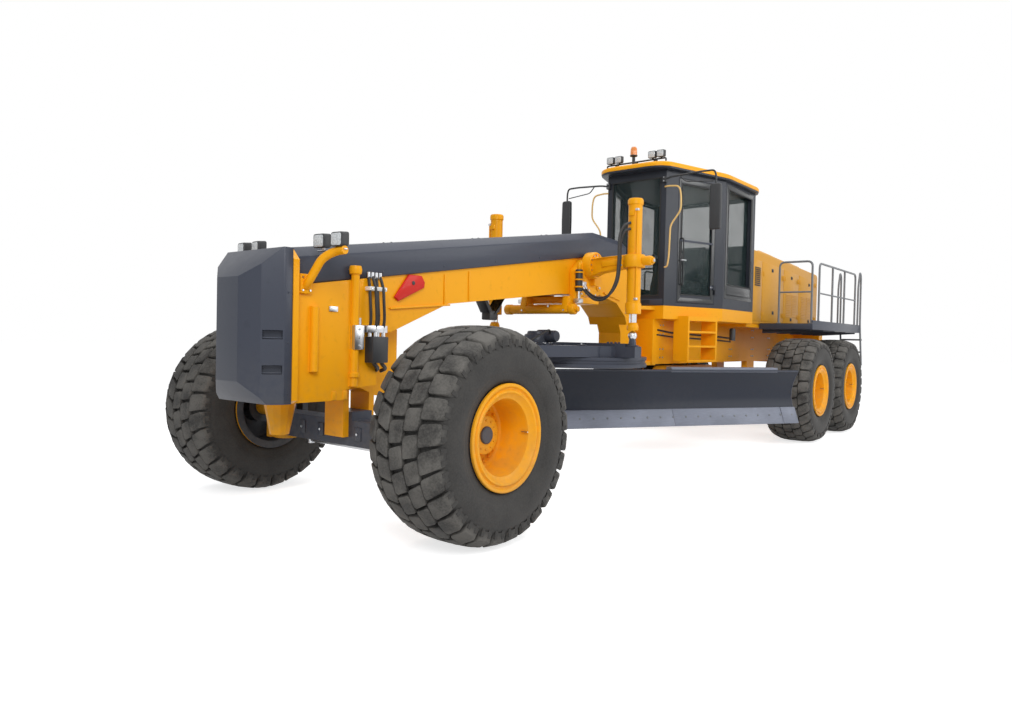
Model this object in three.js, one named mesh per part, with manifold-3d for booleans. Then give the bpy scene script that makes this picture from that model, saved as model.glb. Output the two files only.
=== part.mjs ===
// Motor grader: six wheels, articulated frame, drawbar, circle and blade, hexagonal cab.
// Millimetres. +X is the machine's left, -Y is forward, +Z is up. The ground is z = 0.
// Lengths along the machine are given from the front axle (y = 0), and heights from a level
// AXLE_Z below the axles. Both are shifted at the end, so that the origin is on the ground in
// the middle of the machine's length.
import * as THREE from 'three';
import { mergeVertices } from 'three/addons/utils/BufferGeometryUtils.js';
import Module from 'manifold-3d';

const wasm = await Module();
wasm.setup();

// ---------------------------------------------------------------- driving dimensions
const SEAT_GAP = 0.3; // between pieces of one body that rest on each other
const RUN_GAP = 0.6; // between a pin or ring and what it turns in
const CLEAR = 6; // between pieces that pass each other

// Wheels
const WHEEL_SIDES = 24; // facets round a wheel
const TYRE_RADIUS = 980;
const TYRE_WIDTH = 830;
const RIM_SEAT_RADIUS = 420;
const RIM_FLANGE_RADIUS = 475;
const RIM_FLANGE_OUT = 390; // from the wheel's middle to the flange's outer face
const RIM_FLANGE_THICK = 30;
const RIM_WALL = 26;
const HUB_RADIUS = 190;
const HUB_OUT = 120;
const HUB_IN = 180;
const SPINDLE_RADIUS = 100;
const SPINDLE_OUT = 85; // spindle end, outboard of the wheel's middle
const AXLE_Z = 971.6; // axle centres above the level that all heights here are given from
const HALF_TRACK = 1750;

// Places along the machine, from the front axle
const TANDEM_GAP = 180; // between the treads of the two rear wheels of a side
const TANDEM_START_Y = 8370; // front of the middle tyres
const TANDEM_FRONT_Y = TANDEM_START_Y + TYRE_RADIUS;
const TANDEM_SPACING = 2 * TYRE_RADIUS + TANDEM_GAP;
const TANDEM_Y = TANDEM_FRONT_Y + TANDEM_SPACING / 2;
const NOSE_FRONT_Y = -1400;
const FLANGE_Y = -1040;
const FLANGE_THICK = 60;
const HITCH_Y = 5600;
const CAB_FRONT_Y = 6000;
const CAB_DOOR_END_Y = 7350;
const CAB_REAR_Y = 8800;
const HOOD_FRONT_Y = 8950;
const REAR_Y = 13450;

// Front axle and steering
const AXLE_HALF_DEPTH = 130;
const AXLE_BOTTOM_Z = 700;
const AXLE_TOP_Z = 960;
const KINGPIN_X = HALF_TRACK - 630;
const KINGPIN_RADIUS = 50;
const KINGPIN_BOSS_RADIUS = 110;
const KINGPIN_BOSS_TOP_Z = 1040;
const KNUCKLE_PLATE = 45;
const STEER_ARM_Y = 330;
const TIE_ROD_RADIUS = 32;
const AXLE_PIN_RADIUS = 60;

// Front frame
const BEAM_HALF_WIDTH = 340;
const NOSE_HALF_WIDTH = BEAM_HALF_WIDTH + 110;
const NOSE_BOTTOM_Z = 1200;
const BEAM_START_TOP_Z = 2611; // top of the beam cover at the flange
const BEAM_SLOPE = 0.1515;
const COVER_HEIGHT = 350;
const COVER_CHAMFER = 95;
const COVER_PEAK_Y = 4230;
const COVER_END_Y = 5060;
const COVER_END_DROP = 40;
const BALL_Y = 450;
const BALL_Z = 1330;
const BALL_RADIUS = 110;
const BALL_CHEEK = 118; // flat cheeks of the ball, either side of the machine's middle
const SOCKET_HALF = 150;

// Articulation
const HITCH_TOP_Z = 2340;
const HITCH_BOTTOM_Z = 1500;
const HITCH_BARREL_RADIUS = 230;
const NECK_FRONT_Y = 5235;
const HITCH_PIN_RADIUS = 90;
const HITCH_EAR = 60;

// Blade lift
const LIFT_X = 1210;
const LIFT_Y = 3800;
const LIFT_TOP_Z = 3740;
const LIFT_BOTTOM_Z = 2250;
const LIFT_BARREL_RADIUS = 95;
const LIFT_ROD_RADIUS = 50;
const LIFT_YOKE_Z = 2900;
const BOSS_Z = 2880; // round bosses on the saddle's cheeks
const BOSS_RADIUS = 190;
const LIFT_BALL_Z = 1900;
const LIFT_BALL_RADIUS = 60;

// Drawbar, circle and blade
const CIRCLE_Y = 4050;
const CIRCLE_RADIUS = 1150;
const CIRCLE_BORE = 900;
const CIRCLE_TOP_Z = 1600;
const CIRCLE_BOTTOM_Z = 1450;
const DRAWBAR_PLATE = 150;
const BLADE_ANGLE = 59.2; // blade line from +X towards +Y, degrees
const BLADE_LENGTH = 6900;
const BLADE_SHIFT = 772; // blade's middle, left of the circle's middle
const BLADE_BOTTOM_Z = 515;
const BLADE_TOP_Z = 1395;
const BLADE_EDGE_Q = 150; // blade's lower edge, ahead of the circle's middle
const BLADE_DEPTH = 190; // hollow of the blade's curve
const BLADE_PLATE = 30;
const EDGE_HEIGHT = 260;
const EDGE_THICK = 32;
const EDGE_LAP = 60; // how far the blade plate reaches down behind the cutting edge
const RAIL_DEPTH = 75;
const CARRIER_Q = -340;
const CARRIER_Z = 700;
const CARRIER_PIN_RADIUS = 50;
const ARM_P = 850; // blade arms either side of the circle's middle
const ARM_WIDTH = 110;
const SHIFT_Q = -170;
const SHIFT_Z = 1010;
const SHIFT_BARREL_RADIUS = 62;
const SHIFT_ROD_RADIUS = 34;

// Rear frame, tandems and cab
const FRAME_HALF_WIDTH = 400;
const FRAME_BOTTOM_Z = 1450;
const FRAME_TOP_Z = 2200;
const TANDEM_IN_X = HALF_TRACK - 790;
const TANDEM_OUT_X = HALF_TRACK - 500;
const TANDEM_HALF_HEIGHT = 330;
const CAB_FRONT_HALF = 550;
const CAB_HALF = 1000;
const CAB_FLOOR_Z = 2420;
const CAB_TOP_Z = 4640;
const CAB_WALL = 70;
const ROOF_TOP_Z = 4775;
const GLASS = 10;
const DOOR_START = 0.2; // share of the slanted cab side, from its front corner
const DOOR_END = 0.84;
const DOOR_THICK = 60;
const HOOD_HALF = 900;
const HOOD_WALL = 40;
const HOOD_FRONT_TOP_Z = 3650;
const HOOD_REAR_TOP_Z = 3490;
const PLATFORM_OUT_X = 1930;
const PLATFORM_FRONT_Y = 9400;
const PLATFORM_REAR_Y = 13000;
const PLATFORM_TOP_Z = AXLE_Z + TYRE_RADIUS + 278.4;
const PLATFORM_THICK = 120;
const STEP_FRONT_X = 840; // outer front corner of the cab's hanging steps
const STEP_FRONT_Y = 6330;
const STEP_REAR_Y = 7000;
const STEP_DEPTH = 260;
const STEP_SIDE = 35;
const STEP_THICK = 35;
const STEP_LOW_Z = 1500;
const STEP_RISE = 240;
const RAIL_RADIUS = 22;
const LADDER_WIDTH = 420;
const RAIL_TOP_Z = PLATFORM_TOP_Z + 1200;
const MID_RAIL_Z = PLATFORM_TOP_Z + 600;
const RAIL_BEND = 60; // how far a rail's bend reaches along each way

// ---------------------------------------------------------------- shape helpers
// Radius of a many-sided bore whose flats clear a round pin by the running gap
function boreRadius(pinRadius, sides) {
  return (pinRadius + RUN_GAP) / Math.cos(Math.PI / sides);
}

function toSolid(geometry) {
  const bare = geometry.clone();
  bare.deleteAttribute('normal');
  bare.deleteAttribute('uv');
  const merged = mergeVertices(bare, 1e-3);
  const vertProperties = new Float32Array(merged.attributes.position.array);
  const triVerts = new Uint32Array(merged.index.array);
  return new wasm.Manifold(new wasm.Mesh({ numProp: 3, vertProperties, triVerts }));
}

function join(...solids) {
  return solids.reduce((whole, next) => whole.add(next));
}

function cut(solid, ...tools) {
  return tools.reduce((whole, tool) => whole.subtract(tool), solid);
}

function box(x0, x1, y0, y1, z0, z1) {
  const geometry = new THREE.BoxGeometry(Math.abs(x1 - x0), Math.abs(y1 - y0), Math.abs(z1 - z0));
  geometry.translate((x0 + x1) / 2, (y0 + y1) / 2, (z0 + z1) / 2);
  return toSolid(geometry);
}

function extrude(points, depth, matrix) {
  const outline = new THREE.Shape(points.map(([u, v]) => new THREE.Vector2(u, v)));
  const geometry = new THREE.ExtrudeGeometry(outline, { depth, bevelEnabled: false, curveSegments: 1 });
  geometry.applyMatrix4(matrix);
  return toSolid(geometry);
}

// Outline of (y, z) points, from x0 to x1
function sideProfile(points, x0, x1) {
  const axes = new THREE.Matrix4().makeBasis(
    new THREE.Vector3(0, 1, 0),
    new THREE.Vector3(0, 0, 1),
    new THREE.Vector3(1, 0, 0),
  );
  axes.setPosition(Math.min(x0, x1), 0, 0);
  return extrude(points, Math.abs(x1 - x0), axes);
}

// Outline of (x, y) points, from z0 to z1
function plan(points, z0, z1) {
  return extrude(points, z1 - z0, new THREE.Matrix4().makeTranslation(0, 0, z0));
}

// Outline of (x, z) points, from y0 to y1
function frontProfile(points, y0, y1) {
  const axes = new THREE.Matrix4().makeBasis(
    new THREE.Vector3(1, 0, 0),
    new THREE.Vector3(0, 0, 1),
    new THREE.Vector3(0, -1, 0),
  );
  axes.setPosition(0, y1, 0);
  return extrude(points, y1 - y0, axes);
}

function rod(from, to, radius, sides = 12, endRadius = radius) {
  const start = new THREE.Vector3(...from);
  const end = new THREE.Vector3(...to);
  const along = end.clone().sub(start);
  const geometry = new THREE.CylinderGeometry(endRadius, radius, along.length(), sides);
  const turn = new THREE.Quaternion().setFromUnitVectors(new THREE.Vector3(0, 1, 0),
      along.clone().normalize());
  geometry.applyQuaternion(turn);
  geometry.translate(...start.add(end).multiplyScalar(0.5).toArray());
  return toSolid(geometry);
}

function ball(centre, radius, sides = 12) {
  const geometry = new THREE.SphereGeometry(radius, sides, sides / 2);
  geometry.translate(...centre);
  return toSolid(geometry);
}

function tube(points, radius, steps, sides = 8) {
  const route = new THREE.CatmullRomCurve3(points.map((p) => new THREE.Vector3(...p)), false, 'centripetal');
  const ring = [];
  for (let i = 0; i < sides; i += 1) {
    const angle = (2 * Math.PI * i) / sides;
    ring.push(new THREE.Vector2(radius * Math.cos(angle), radius * Math.sin(angle)));
  }
  const geometry = new THREE.ExtrudeGeometry(new THREE.Shape(ring), {
    steps,
    bevelEnabled: false,
    extrudePath: route,
  });
  return toSolid(geometry);
}

// Ring or disc about a vertical axis from (radius, z) points
function turned(points, x, y, sides) {
  const geometry = new THREE.LatheGeometry(points.map(([r, z]) => new THREE.Vector2(r, z)), sides);
  geometry.rotateX(Math.PI / 2);
  geometry.translate(x, y, 0);
  return toSolid(geometry);
}

// Wheel piece about its axle from (radius, out) points; out grows away from the machine
function wheelPiece(points, side, y) {
  const geometry = new THREE.LatheGeometry(points.map(([r, out]) => new THREE.Vector2(r, out)), WHEEL_SIDES);
  geometry.rotateY(Math.PI / WHEEL_SIDES);
  geometry.rotateZ((-side * Math.PI) / 2);
  geometry.translate(side * HALF_TRACK, y, AXLE_Z);
  return toSolid(geometry);
}

// The same solid on the other side of the machine
function mirrored(solid) {
  const geometry = toGeometry(solid);
  geometry.scale(-1, 1, 1);
  const index = geometry.index.array;
  for (let i = 0; i < index.length; i += 3) {
    const second = index[i + 1];
    index[i + 1] = index[i + 2];
    index[i + 2] = second;
  }
  return toSolid(geometry);
}

// (x, y, z) of a point p along the blade, q ahead of the circle's middle
function bladePoint(p, q, z) {
  const angle = THREE.MathUtils.degToRad(BLADE_ANGLE);
  return [
    p * Math.cos(angle) + q * Math.sin(angle),
    CIRCLE_Y + p * Math.sin(angle) - q * Math.cos(angle),
    z,
  ];
}

// Outline of (q, z) points, from p0 to p1 along the blade
function bladeProfile(points, p0, p1) {
  const angle = THREE.MathUtils.degToRad(BLADE_ANGLE);
  const along = new THREE.Vector3(Math.cos(angle), Math.sin(angle), 0);
  const ahead = new THREE.Vector3(Math.sin(angle), -Math.cos(angle), 0);
  const up = new THREE.Vector3(0, 0, 1);
  const axes = new THREE.Matrix4().makeBasis(ahead, up, along.clone().negate());
  axes.setPosition(along.x * p1, CIRCLE_Y + along.y * p1, 0);
  return extrude(points, p1 - p0, axes);
}

function bladeBox(p0, p1, q0, q1, z0, z1) {
  return bladeProfile([[q0, z0], [q1, z0], [q1, z1], [q0, z1]], p0, p1);
}

function toGeometry(solid) {
  const mesh = solid.getMesh();
  const geometry = new THREE.BufferGeometry();
  const positions = new Float32Array(mesh.numVert * 3);
  for (let i = 0; i < mesh.numVert; i += 1) {
    positions.set(mesh.vertProperties.subarray(i * mesh.numProp, i * mesh.numProp + 3), i * 3);
  }
  geometry.setAttribute('position', new THREE.BufferAttribute(positions, 3));
  geometry.setIndex(new THREE.BufferAttribute(new Uint32Array(mesh.triVerts), 1));
  return geometry;
}

// ---------------------------------------------------------------- finishes
const FINISH = {
  yellow: { color: 0xf0a814, roughness: 0.4, metalness: 0.1 },
  slate: { color: 0x454950, roughness: 0.5, metalness: 0.2 },
  edge: { color: 0x7d8292, roughness: 0.4, metalness: 0.7 },
  tyre: { color: 0x2b2a29, roughness: 0.9, metalness: 0 },
  chrome: { color: 0xd0d2d6, roughness: 0.15, metalness: 1 },
  glass: { color: 0x8aa09c, roughness: 0.05, metalness: 0 },
  plastic: { color: 0x1e1f21, roughness: 0.6, metalness: 0 },
  hose: { color: 0x141414, roughness: 0.7, metalness: 0 },
  fabric: { color: 0x2c2e33, roughness: 0.95, metalness: 0 },
  amber: { color: 0xe07a12, roughness: 0.2, metalness: 0 },
};

const machine = new THREE.Group();

function place(name, solid, finish) {
  const mesh = new THREE.Mesh(toGeometry(solid), new THREE.MeshStandardMaterial(FINISH[finish]));
  mesh.name = name;
  machine.add(mesh);
  return solid;
}

function placePair(name, leftSolid, finish) {
  place(`left_${name}`, leftSolid, finish);
  place(`right_${name}`, mirrored(leftSolid), finish);
}

// ---------------------------------------------------------------- wheels
function tyreProfile() {
  const bead = RIM_SEAT_RADIUS + SEAT_GAP;
  const beadOut = RIM_FLANGE_OUT - RIM_FLANGE_THICK - SEAT_GAP;
  const half = TYRE_WIDTH / 2;
  const outer = [
    [bead, beadOut],
    [RIM_FLANGE_RADIUS + 4, beadOut],
    [RIM_FLANGE_RADIUS + 40, half - 20],
    [690, half],
    [TYRE_RADIUS - 90, half - 14],
    [TYRE_RADIUS, half - 105],
  ];
  const inner = outer.map(([r, out]) => [r, -out]);
  const loop = [...inner, ...outer.slice().reverse()];
  return [...loop, loop[0]];
}

function rimProfile() {
  const flangeIn = RIM_FLANGE_OUT - RIM_FLANGE_THICK;
  const wall = RIM_SEAT_RADIUS - RIM_WALL;
  return [
    [0, HUB_OUT],
    [HUB_RADIUS, HUB_OUT],
    [HUB_RADIUS, 20],
    [wall, 10],
    [wall, RIM_FLANGE_OUT - 40],
    [wall + 30, RIM_FLANGE_OUT],
    [RIM_FLANGE_RADIUS, RIM_FLANGE_OUT],
    [RIM_FLANGE_RADIUS, flangeIn],
    [RIM_SEAT_RADIUS, flangeIn],
    [RIM_SEAT_RADIUS, -flangeIn],
    [RIM_FLANGE_RADIUS, -flangeIn],
    [RIM_FLANGE_RADIUS, -RIM_FLANGE_OUT],
    [wall, -RIM_FLANGE_OUT],
    [wall, -30],
    [HUB_RADIUS, -30],
    [HUB_RADIUS, -HUB_IN],
    [boreRadius(SPINDLE_RADIUS, WHEEL_SIDES), -HUB_IN],
    [boreRadius(SPINDLE_RADIUS, WHEEL_SIDES), SPINDLE_OUT + CLEAR],
    [0, SPINDLE_OUT + CLEAR],
  ];
}

const WHEELS = [
  ['front', 0],
  ['mid', TANDEM_FRONT_Y],
  ['rear', TANDEM_FRONT_Y + TANDEM_SPACING],
];

for (const [row, y] of WHEELS) {
  for (const [sideName, side] of [['left', 1], ['right', -1]]) {
    place(`${row}_${sideName}_tyre`, wheelPiece(tyreProfile(), side, y), 'tyre');
    place(`${row}_${sideName}_rim`, wheelPiece(rimProfile().reverse(), side, y), 'yellow');
  }
}

function spindle(fromX, y) {
  return rod([fromX, y, AXLE_Z], [HALF_TRACK + SPINDLE_OUT, y, AXLE_Z], SPINDLE_RADIUS, WHEEL_SIDES);
}

// ---------------------------------------------------------------- front axle and steering
function frontAxle() {
  const beam = box(-KINGPIN_X, KINGPIN_X, -AXLE_HALF_DEPTH, AXLE_HALF_DEPTH, AXLE_BOTTOM_Z, AXLE_TOP_Z);
  const middle = box(-200, 200, -AXLE_HALF_DEPTH, AXLE_HALF_DEPTH, AXLE_TOP_Z, AXLE_TOP_Z + 90);
  let axle = join(beam, middle);
  for (const x of [KINGPIN_X, -KINGPIN_X]) {
    const boss = rod([x, 0, AXLE_BOTTOM_Z], [x, 0, KINGPIN_BOSS_TOP_Z], KINGPIN_BOSS_RADIUS, 16);
    const room = endRoom(x, KINGPIN_BOSS_RADIUS);
    const bore = rod([x, 0, 600], [x, 0, 1200], boreRadius(KINGPIN_RADIUS, 12), 12);
    axle = cut(join(cut(axle, room), boss), bore);
  }
  const pinBore = rod([0, -200, AXLE_TOP_Z - 60], [0, 200, AXLE_TOP_Z - 60],
      boreRadius(AXLE_PIN_RADIUS, 12), 12);
  return cut(axle, pinBore);
}

// Room that takes the beam's square end back to the boss
function endRoom(x, radius) {
  const out = Math.sign(x);
  return box(x - out * 10, x + out * radius, -400, 400, 600, 1200);
}

function knuckle() {
  const bottomZ = AXLE_BOTTOM_Z - CLEAR;
  const topZ = KINGPIN_BOSS_TOP_Z + CLEAR;
  const plateRadius = KINGPIN_BOSS_RADIUS + 15;
  const webX = KINGPIN_X + KINGPIN_BOSS_RADIUS + CLEAR;
  const top = rod([KINGPIN_X, 0, topZ], [KINGPIN_X, 0, topZ + KNUCKLE_PLATE], plateRadius, 16);
  const bottom = rod([KINGPIN_X, 0, bottomZ - KNUCKLE_PLATE], [KINGPIN_X, 0, bottomZ], plateRadius, 16);
  const topBridge = box(KINGPIN_X, webX + 50, -110, 110, topZ, topZ + KNUCKLE_PLATE);
  const bottomBridge = box(KINGPIN_X, webX + 50, -110, 110, bottomZ - KNUCKLE_PLATE, bottomZ);
  const web = box(webX, webX + 70, -130, 130, bottomZ - KNUCKLE_PLATE, topZ + KNUCKLE_PLATE);
  const pin = rod([KINGPIN_X, 0, bottomZ - 20], [KINGPIN_X, 0, topZ + 20], KINGPIN_RADIUS, 12);
  const collar = rod([KINGPIN_X, 0, bottomZ - 10], [KINGPIN_X, 0, AXLE_BOTTOM_Z - RUN_GAP], 80, 16);
  const arm = plan(
    [[KINGPIN_X - 50, 60], [KINGPIN_X + 60, 60], [KINGPIN_X + 20, STEER_ARM_Y + 45],
        [KINGPIN_X - 60, STEER_ARM_Y + 45]],
    bottomZ - KNUCKLE_PLATE,
    bottomZ,
  );
  return join(top, bottom, topBridge, bottomBridge, web, pin, collar, arm, spindle(webX + 20, 0));
}

function tieRod() {
  const z = AXLE_BOTTOM_Z - CLEAR - KNUCKLE_PLATE;
  const endX = KINGPIN_X - 20;
  const rodZ = z - 52;
  const bar = rod([-endX, STEER_ARM_Y, rodZ], [endX, STEER_ARM_Y, rodZ], TIE_ROD_RADIUS, 12);
  const ends = [endX, -endX].map((x) => rod([x, STEER_ARM_Y, rodZ - 44], [x, STEER_ARM_Y, z - RUN_GAP], 44,
      12));
  return join(bar, ...ends);
}

place('front_axle', frontAxle(), 'slate');
placePair('knuckle', knuckle(), 'slate');
place('tie_rod', tieRod(), 'slate');

// ---------------------------------------------------------------- front frame
function coverTopZ(y) {
  return BEAM_START_TOP_Z + (Math.min(y, COVER_PEAK_Y) - FLANGE_Y) * BEAM_SLOPE;
}

function beamTopZ(y) {
  return coverTopZ(y) - COVER_HEIGHT;
}

function frontFrame() {
  const backY = FLANGE_Y + FLANGE_THICK;
  const flange = frontProfile(
    [[-NOSE_HALF_WIDTH - 30, 1230], [-NOSE_HALF_WIDTH + 40, NOSE_BOTTOM_Z],
        [NOSE_HALF_WIDTH - 40, NOSE_BOTTOM_Z],
      [NOSE_HALF_WIDTH + 30, 1230], [NOSE_HALF_WIDTH + 30, 2500], [NOSE_HALF_WIDTH - 70, 2600],
      [-NOSE_HALF_WIDTH + 70, 2600], [-NOSE_HALF_WIDTH - 30, 2500]],
    FLANGE_Y,
    backY,
  );
  const block = sideProfile(
    [[backY, NOSE_BOTTOM_Z], [-400, NOSE_BOTTOM_Z], [-380, 1300], [0, 1330], [40, 1900], [60, beamTopZ(60)],
      [backY, beamTopZ(backY)]],
    -NOSE_HALF_WIDTH + 40,
    NOSE_HALF_WIDTH - 40,
  );
  const beam = sideProfile(
    [[-300, 2050], [150, 1870], [250, 1870], [1100, 2205], [3290, 2450], [4350, 2500], [4850, 2400],
        [5120, 2200],
      [NECK_FRONT_Y, 1950], [NECK_FRONT_Y, HITCH_BOTTOM_Z], [5400, HITCH_BOTTOM_Z], [5400, HITCH_TOP_Z],
      [5290, HITCH_TOP_Z], [5250, 2750], [COVER_END_Y, beamTopZ(COVER_END_Y)],
          [COVER_PEAK_Y, beamTopZ(COVER_PEAK_Y)],
      [-300, beamTopZ(-300)]],
    -BEAM_HALF_WIDTH,
    BEAM_HALF_WIDTH,
  );
  const neckCut = [BEAM_HALF_WIDTH, -BEAM_HALF_WIDTH].map((x) =>
    box(Math.sign(x) * 200, Math.sign(x) * 400, NECK_FRONT_Y - 60, 5500, HITCH_BOTTOM_Z - 10,
        HITCH_TOP_Z + 150));
  const neck = box(-200, 200, NECK_FRONT_Y + 10, HITCH_Y, HITCH_BOTTOM_Z, HITCH_TOP_Z);
  const barrel = rod([0, HITCH_Y, HITCH_BOTTOM_Z], [0, HITCH_Y, HITCH_TOP_Z], HITCH_BARREL_RADIUS, 16);
  const hitchBore = rod([0, HITCH_Y, 1400], [0, HITCH_Y, 2600], boreRadius(HITCH_PIN_RADIUS, 16), 16);
  const boss = rod([0, -840, 870], [0, -840, NOSE_BOTTOM_Z + 20], 90, 12, 160);
  const ears = [-1, 1].map((end) => box(-150, 150, end * (AXLE_HALF_DEPTH + SEAT_GAP), end * 200, 790, 1340));
  const axlePin = rod([0, -200, AXLE_TOP_Z - 60], [0, 200, AXLE_TOP_Z - 60], AXLE_PIN_RADIUS, 12);
  const web = sideProfile([[-100, 1340], [200, 1200], [BALL_Y - 30, 1180], [BALL_Y + 60, 1480],
      [BALL_Y + 60, 1900], [-100, 1900]],
    -SOCKET_HALF, SOCKET_HALF);
  const socketRoom = ball([0, BALL_Y, BALL_Z], (BALL_RADIUS + 1) / Math.cos(Math.PI / 14) ** 2, 14);
  const cheekRoom = rod([-BALL_CHEEK - RUN_GAP, BALL_Y, BALL_Z], [BALL_CHEEK + RUN_GAP, BALL_Y, BALL_Z], 92,
      14);
  const neckRoom = rod([0, BALL_Y, BALL_Z], [0, BALL_Y + 400, BALL_Z + 20], 100, 14, 190);
  const postX = NOSE_HALF_WIDTH - 25;
  const ribs = [-1, 1].map((end) => box(end * (postX - 20), end * (postX + 15), -815, -735, 1480, 2090));
  const posts = [-1, 1].map((end) => rod([end * postX, -300, 1330], [end * postX, -300, 2480], 42, 12));
  const postFeet = [-1, 1].map((end) => box(end * (postX - 65), end * (postX + 5), -350, -250, 1330, 1420));
  const whole = join(flange, block, cut(beam, ...neckCut), neck, barrel, boss, ...ears, axlePin, web,
      ...ribs, ...posts,
    ...postFeet);
  return cut(whole, hitchBore, socketRoom, cheekRoom, neckRoom);
}

function noseCover() {
  const backY = FLANGE_Y - SEAT_GAP;
  const half = NOSE_HALF_WIDTH + 20;
  const body = plan([[-175, NOSE_FRONT_Y], [175, NOSE_FRONT_Y], [360, -1290], [half, -1120], [half, backY],
    [-half, backY], [-half, -1120], [-360, -1290]], NOSE_BOTTOM_Z, 2600);
  const slope = sideProfile([[NOSE_FRONT_Y - 50, 2310], [NOSE_FRONT_Y + 5, 2330], [-1130, 2601],
      [-1130, 2800],
    [NOSE_FRONT_Y - 50, 2800]], -700, 700);
  const chamfer = sideProfile([[NOSE_FRONT_Y - 50, 1000], [NOSE_FRONT_Y - 50, 1430], [NOSE_FRONT_Y, 1400],
    [-1240, NOSE_BOTTOM_Z], [-1240, 1000]], -700, 700);
  return cut(body, slope, chamfer);
}

// A bar whose two long top edges are planed off, following the beam's slope
function beamCover() {
  const half = BEAM_HALF_WIDTH + 30;
  const startY = FLANGE_Y + FLANGE_THICK + SEAT_GAP;
  const positions = [];
  const stations = [startY, COVER_PEAK_Y, COVER_END_Y];
  for (const y of stations) {
    const top = coverTopZ(y) - (y === COVER_END_Y ? COVER_END_DROP : 0);
    const bottom = beamTopZ(y) + SEAT_GAP;
    positions.push(
      [-half, y, bottom],
      [half, y, bottom],
      [half, y, top - COVER_CHAMFER],
      [half - COVER_CHAMFER, y, top],
      [-half + COVER_CHAMFER, y, top],
      [-half, y, top - COVER_CHAMFER],
    );
  }
  const corners = 6;
  const index = [];
  for (let s = 0; s < stations.length - 1; s += 1) {
    for (let i = 0; i < corners; i += 1) {
      const a = s * corners + i;
      const b = s * corners + ((i + 1) % corners);
      index.push(a, b + corners, b, a, a + corners, b + corners);
    }
  }
  const last = (stations.length - 1) * corners;
  for (let i = 1; i < corners - 1; i += 1) {
    index.push(0, i, i + 1);
    index.push(last, last + i + 1, last + i);
  }
  const geometry = new THREE.BufferGeometry();
  geometry.setAttribute('position', new THREE.BufferAttribute(new Float32Array(positions.flat()), 3));
  geometry.setIndex(index);
  return toSolid(geometry);
}

place('front_frame', frontFrame(), 'yellow');
place('nose_cover', noseCover(), 'slate');
place('beam_cover', beamCover(), 'slate');

// ---------------------------------------------------------------- blade lift
function liftCylinder() {
  const barrel = rod([LIFT_X, LIFT_Y, LIFT_BOTTOM_Z], [LIFT_X, LIFT_Y, LIFT_TOP_Z], LIFT_BARREL_RADIUS, 14);
  const gland = rod([LIFT_X, LIFT_Y, LIFT_BOTTOM_Z - 60], [LIFT_X, LIFT_Y, LIFT_BOTTOM_Z + 90],
    LIFT_BARREL_RADIUS + 15, 14);
  const cap = rod([LIFT_X, LIFT_Y, LIFT_TOP_Z - 70], [LIFT_X, LIFT_Y, LIFT_TOP_Z], LIFT_BARREL_RADIUS + 12,
      14);
  const bore = rod([LIFT_X, LIFT_Y, 1000], [LIFT_X, LIFT_Y, LIFT_TOP_Z - 60], LIFT_ROD_RADIUS + RUN_GAP, 12);
  return cut(join(barrel, gland, cap), bore);
}

function liftRod() {
  const capBottom = LIFT_BALL_Z + LIFT_BALL_RADIUS + CLEAR;
  const bar = rod([LIFT_X, LIFT_Y, capBottom + 40], [LIFT_X, LIFT_Y, LIFT_TOP_Z - 120], LIFT_ROD_RADIUS, 12);
  const cap = rod([LIFT_X, LIFT_Y, capBottom], [LIFT_X, LIFT_Y, capBottom + 110], 82, 14, 62);
  return join(bar, cap);
}

// The yoke that straddles the beam and holds the two lift cylinders
function bladeSaddle() {
  const y0 = LIFT_Y - 260;
  const y1 = LIFT_Y + 420;
  const inner = BEAM_HALF_WIDTH + SEAT_GAP;
  const cheeks = [-1, 1].map((end) => sideProfile(
    [[y0, 2420], [y1 - 60, 2470], [y1, 2700], [y1, 2960], [y0 + 200, 2960], [y0, 2800]],
    end * inner,
    end * (inner + 110),
  ));
  const under = box(-inner - 110, inner + 110, y0, y1 - 60, 2340, 2440);
  const bosses = [-1, 1].map((end) => rod([end * (inner + 60), LIFT_Y + 80, BOSS_Z],
      [end * 640, LIFT_Y + 80, BOSS_Z], BOSS_RADIUS, 16));
  const arms = [-1, 1].map((end) => frontProfile(
    [[end * 520, 2640], [end * (LIFT_X - 90), LIFT_YOKE_Z - 90], [end * (LIFT_X - 90), LIFT_YOKE_Z + 90],
        [end * 520, 2960]],
    LIFT_Y - 80,
    LIFT_Y + 100,
  ));
  const yokes = [-1, 1].map((end) => {
    const block = rod([end * LIFT_X, LIFT_Y, LIFT_YOKE_Z - 90], [end * LIFT_X, LIFT_Y, LIFT_YOKE_Z + 90],
      LIFT_BARREL_RADIUS + 50, 14);
    return block;
  });
  const barrelRooms = [-1, 1].map((end) => rod([end * LIFT_X, LIFT_Y, 2500], [end * LIFT_X, LIFT_Y, 3300],
    LIFT_BARREL_RADIUS + SEAT_GAP * 2, 14));
  const beamRoom = sideProfile([[3000, 2400], [3290, 2450], [4350, 2500], [4700, 2330], [5000, 2600],
      [5000, 3300], [3000, 3300]],
    -inner, inner);
  const shiftCylinder = rod([-700, LIFT_Y - 340, 2250], [560, LIFT_Y - 340, 2250], 75, 12);
  const shiftLug = box(300, 420, LIFT_Y - 420, LIFT_Y - 200, 2200, 2430);
  const bracket = box(-420, -300, LIFT_Y - 420, LIFT_Y - 200, 2200, 2430);
  const whole = join(...cheeks, under, ...bosses, ...arms, ...yokes, shiftCylinder, shiftLug, bracket);
  return cut(whole, beamRoom, ...barrelRooms);
}

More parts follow.
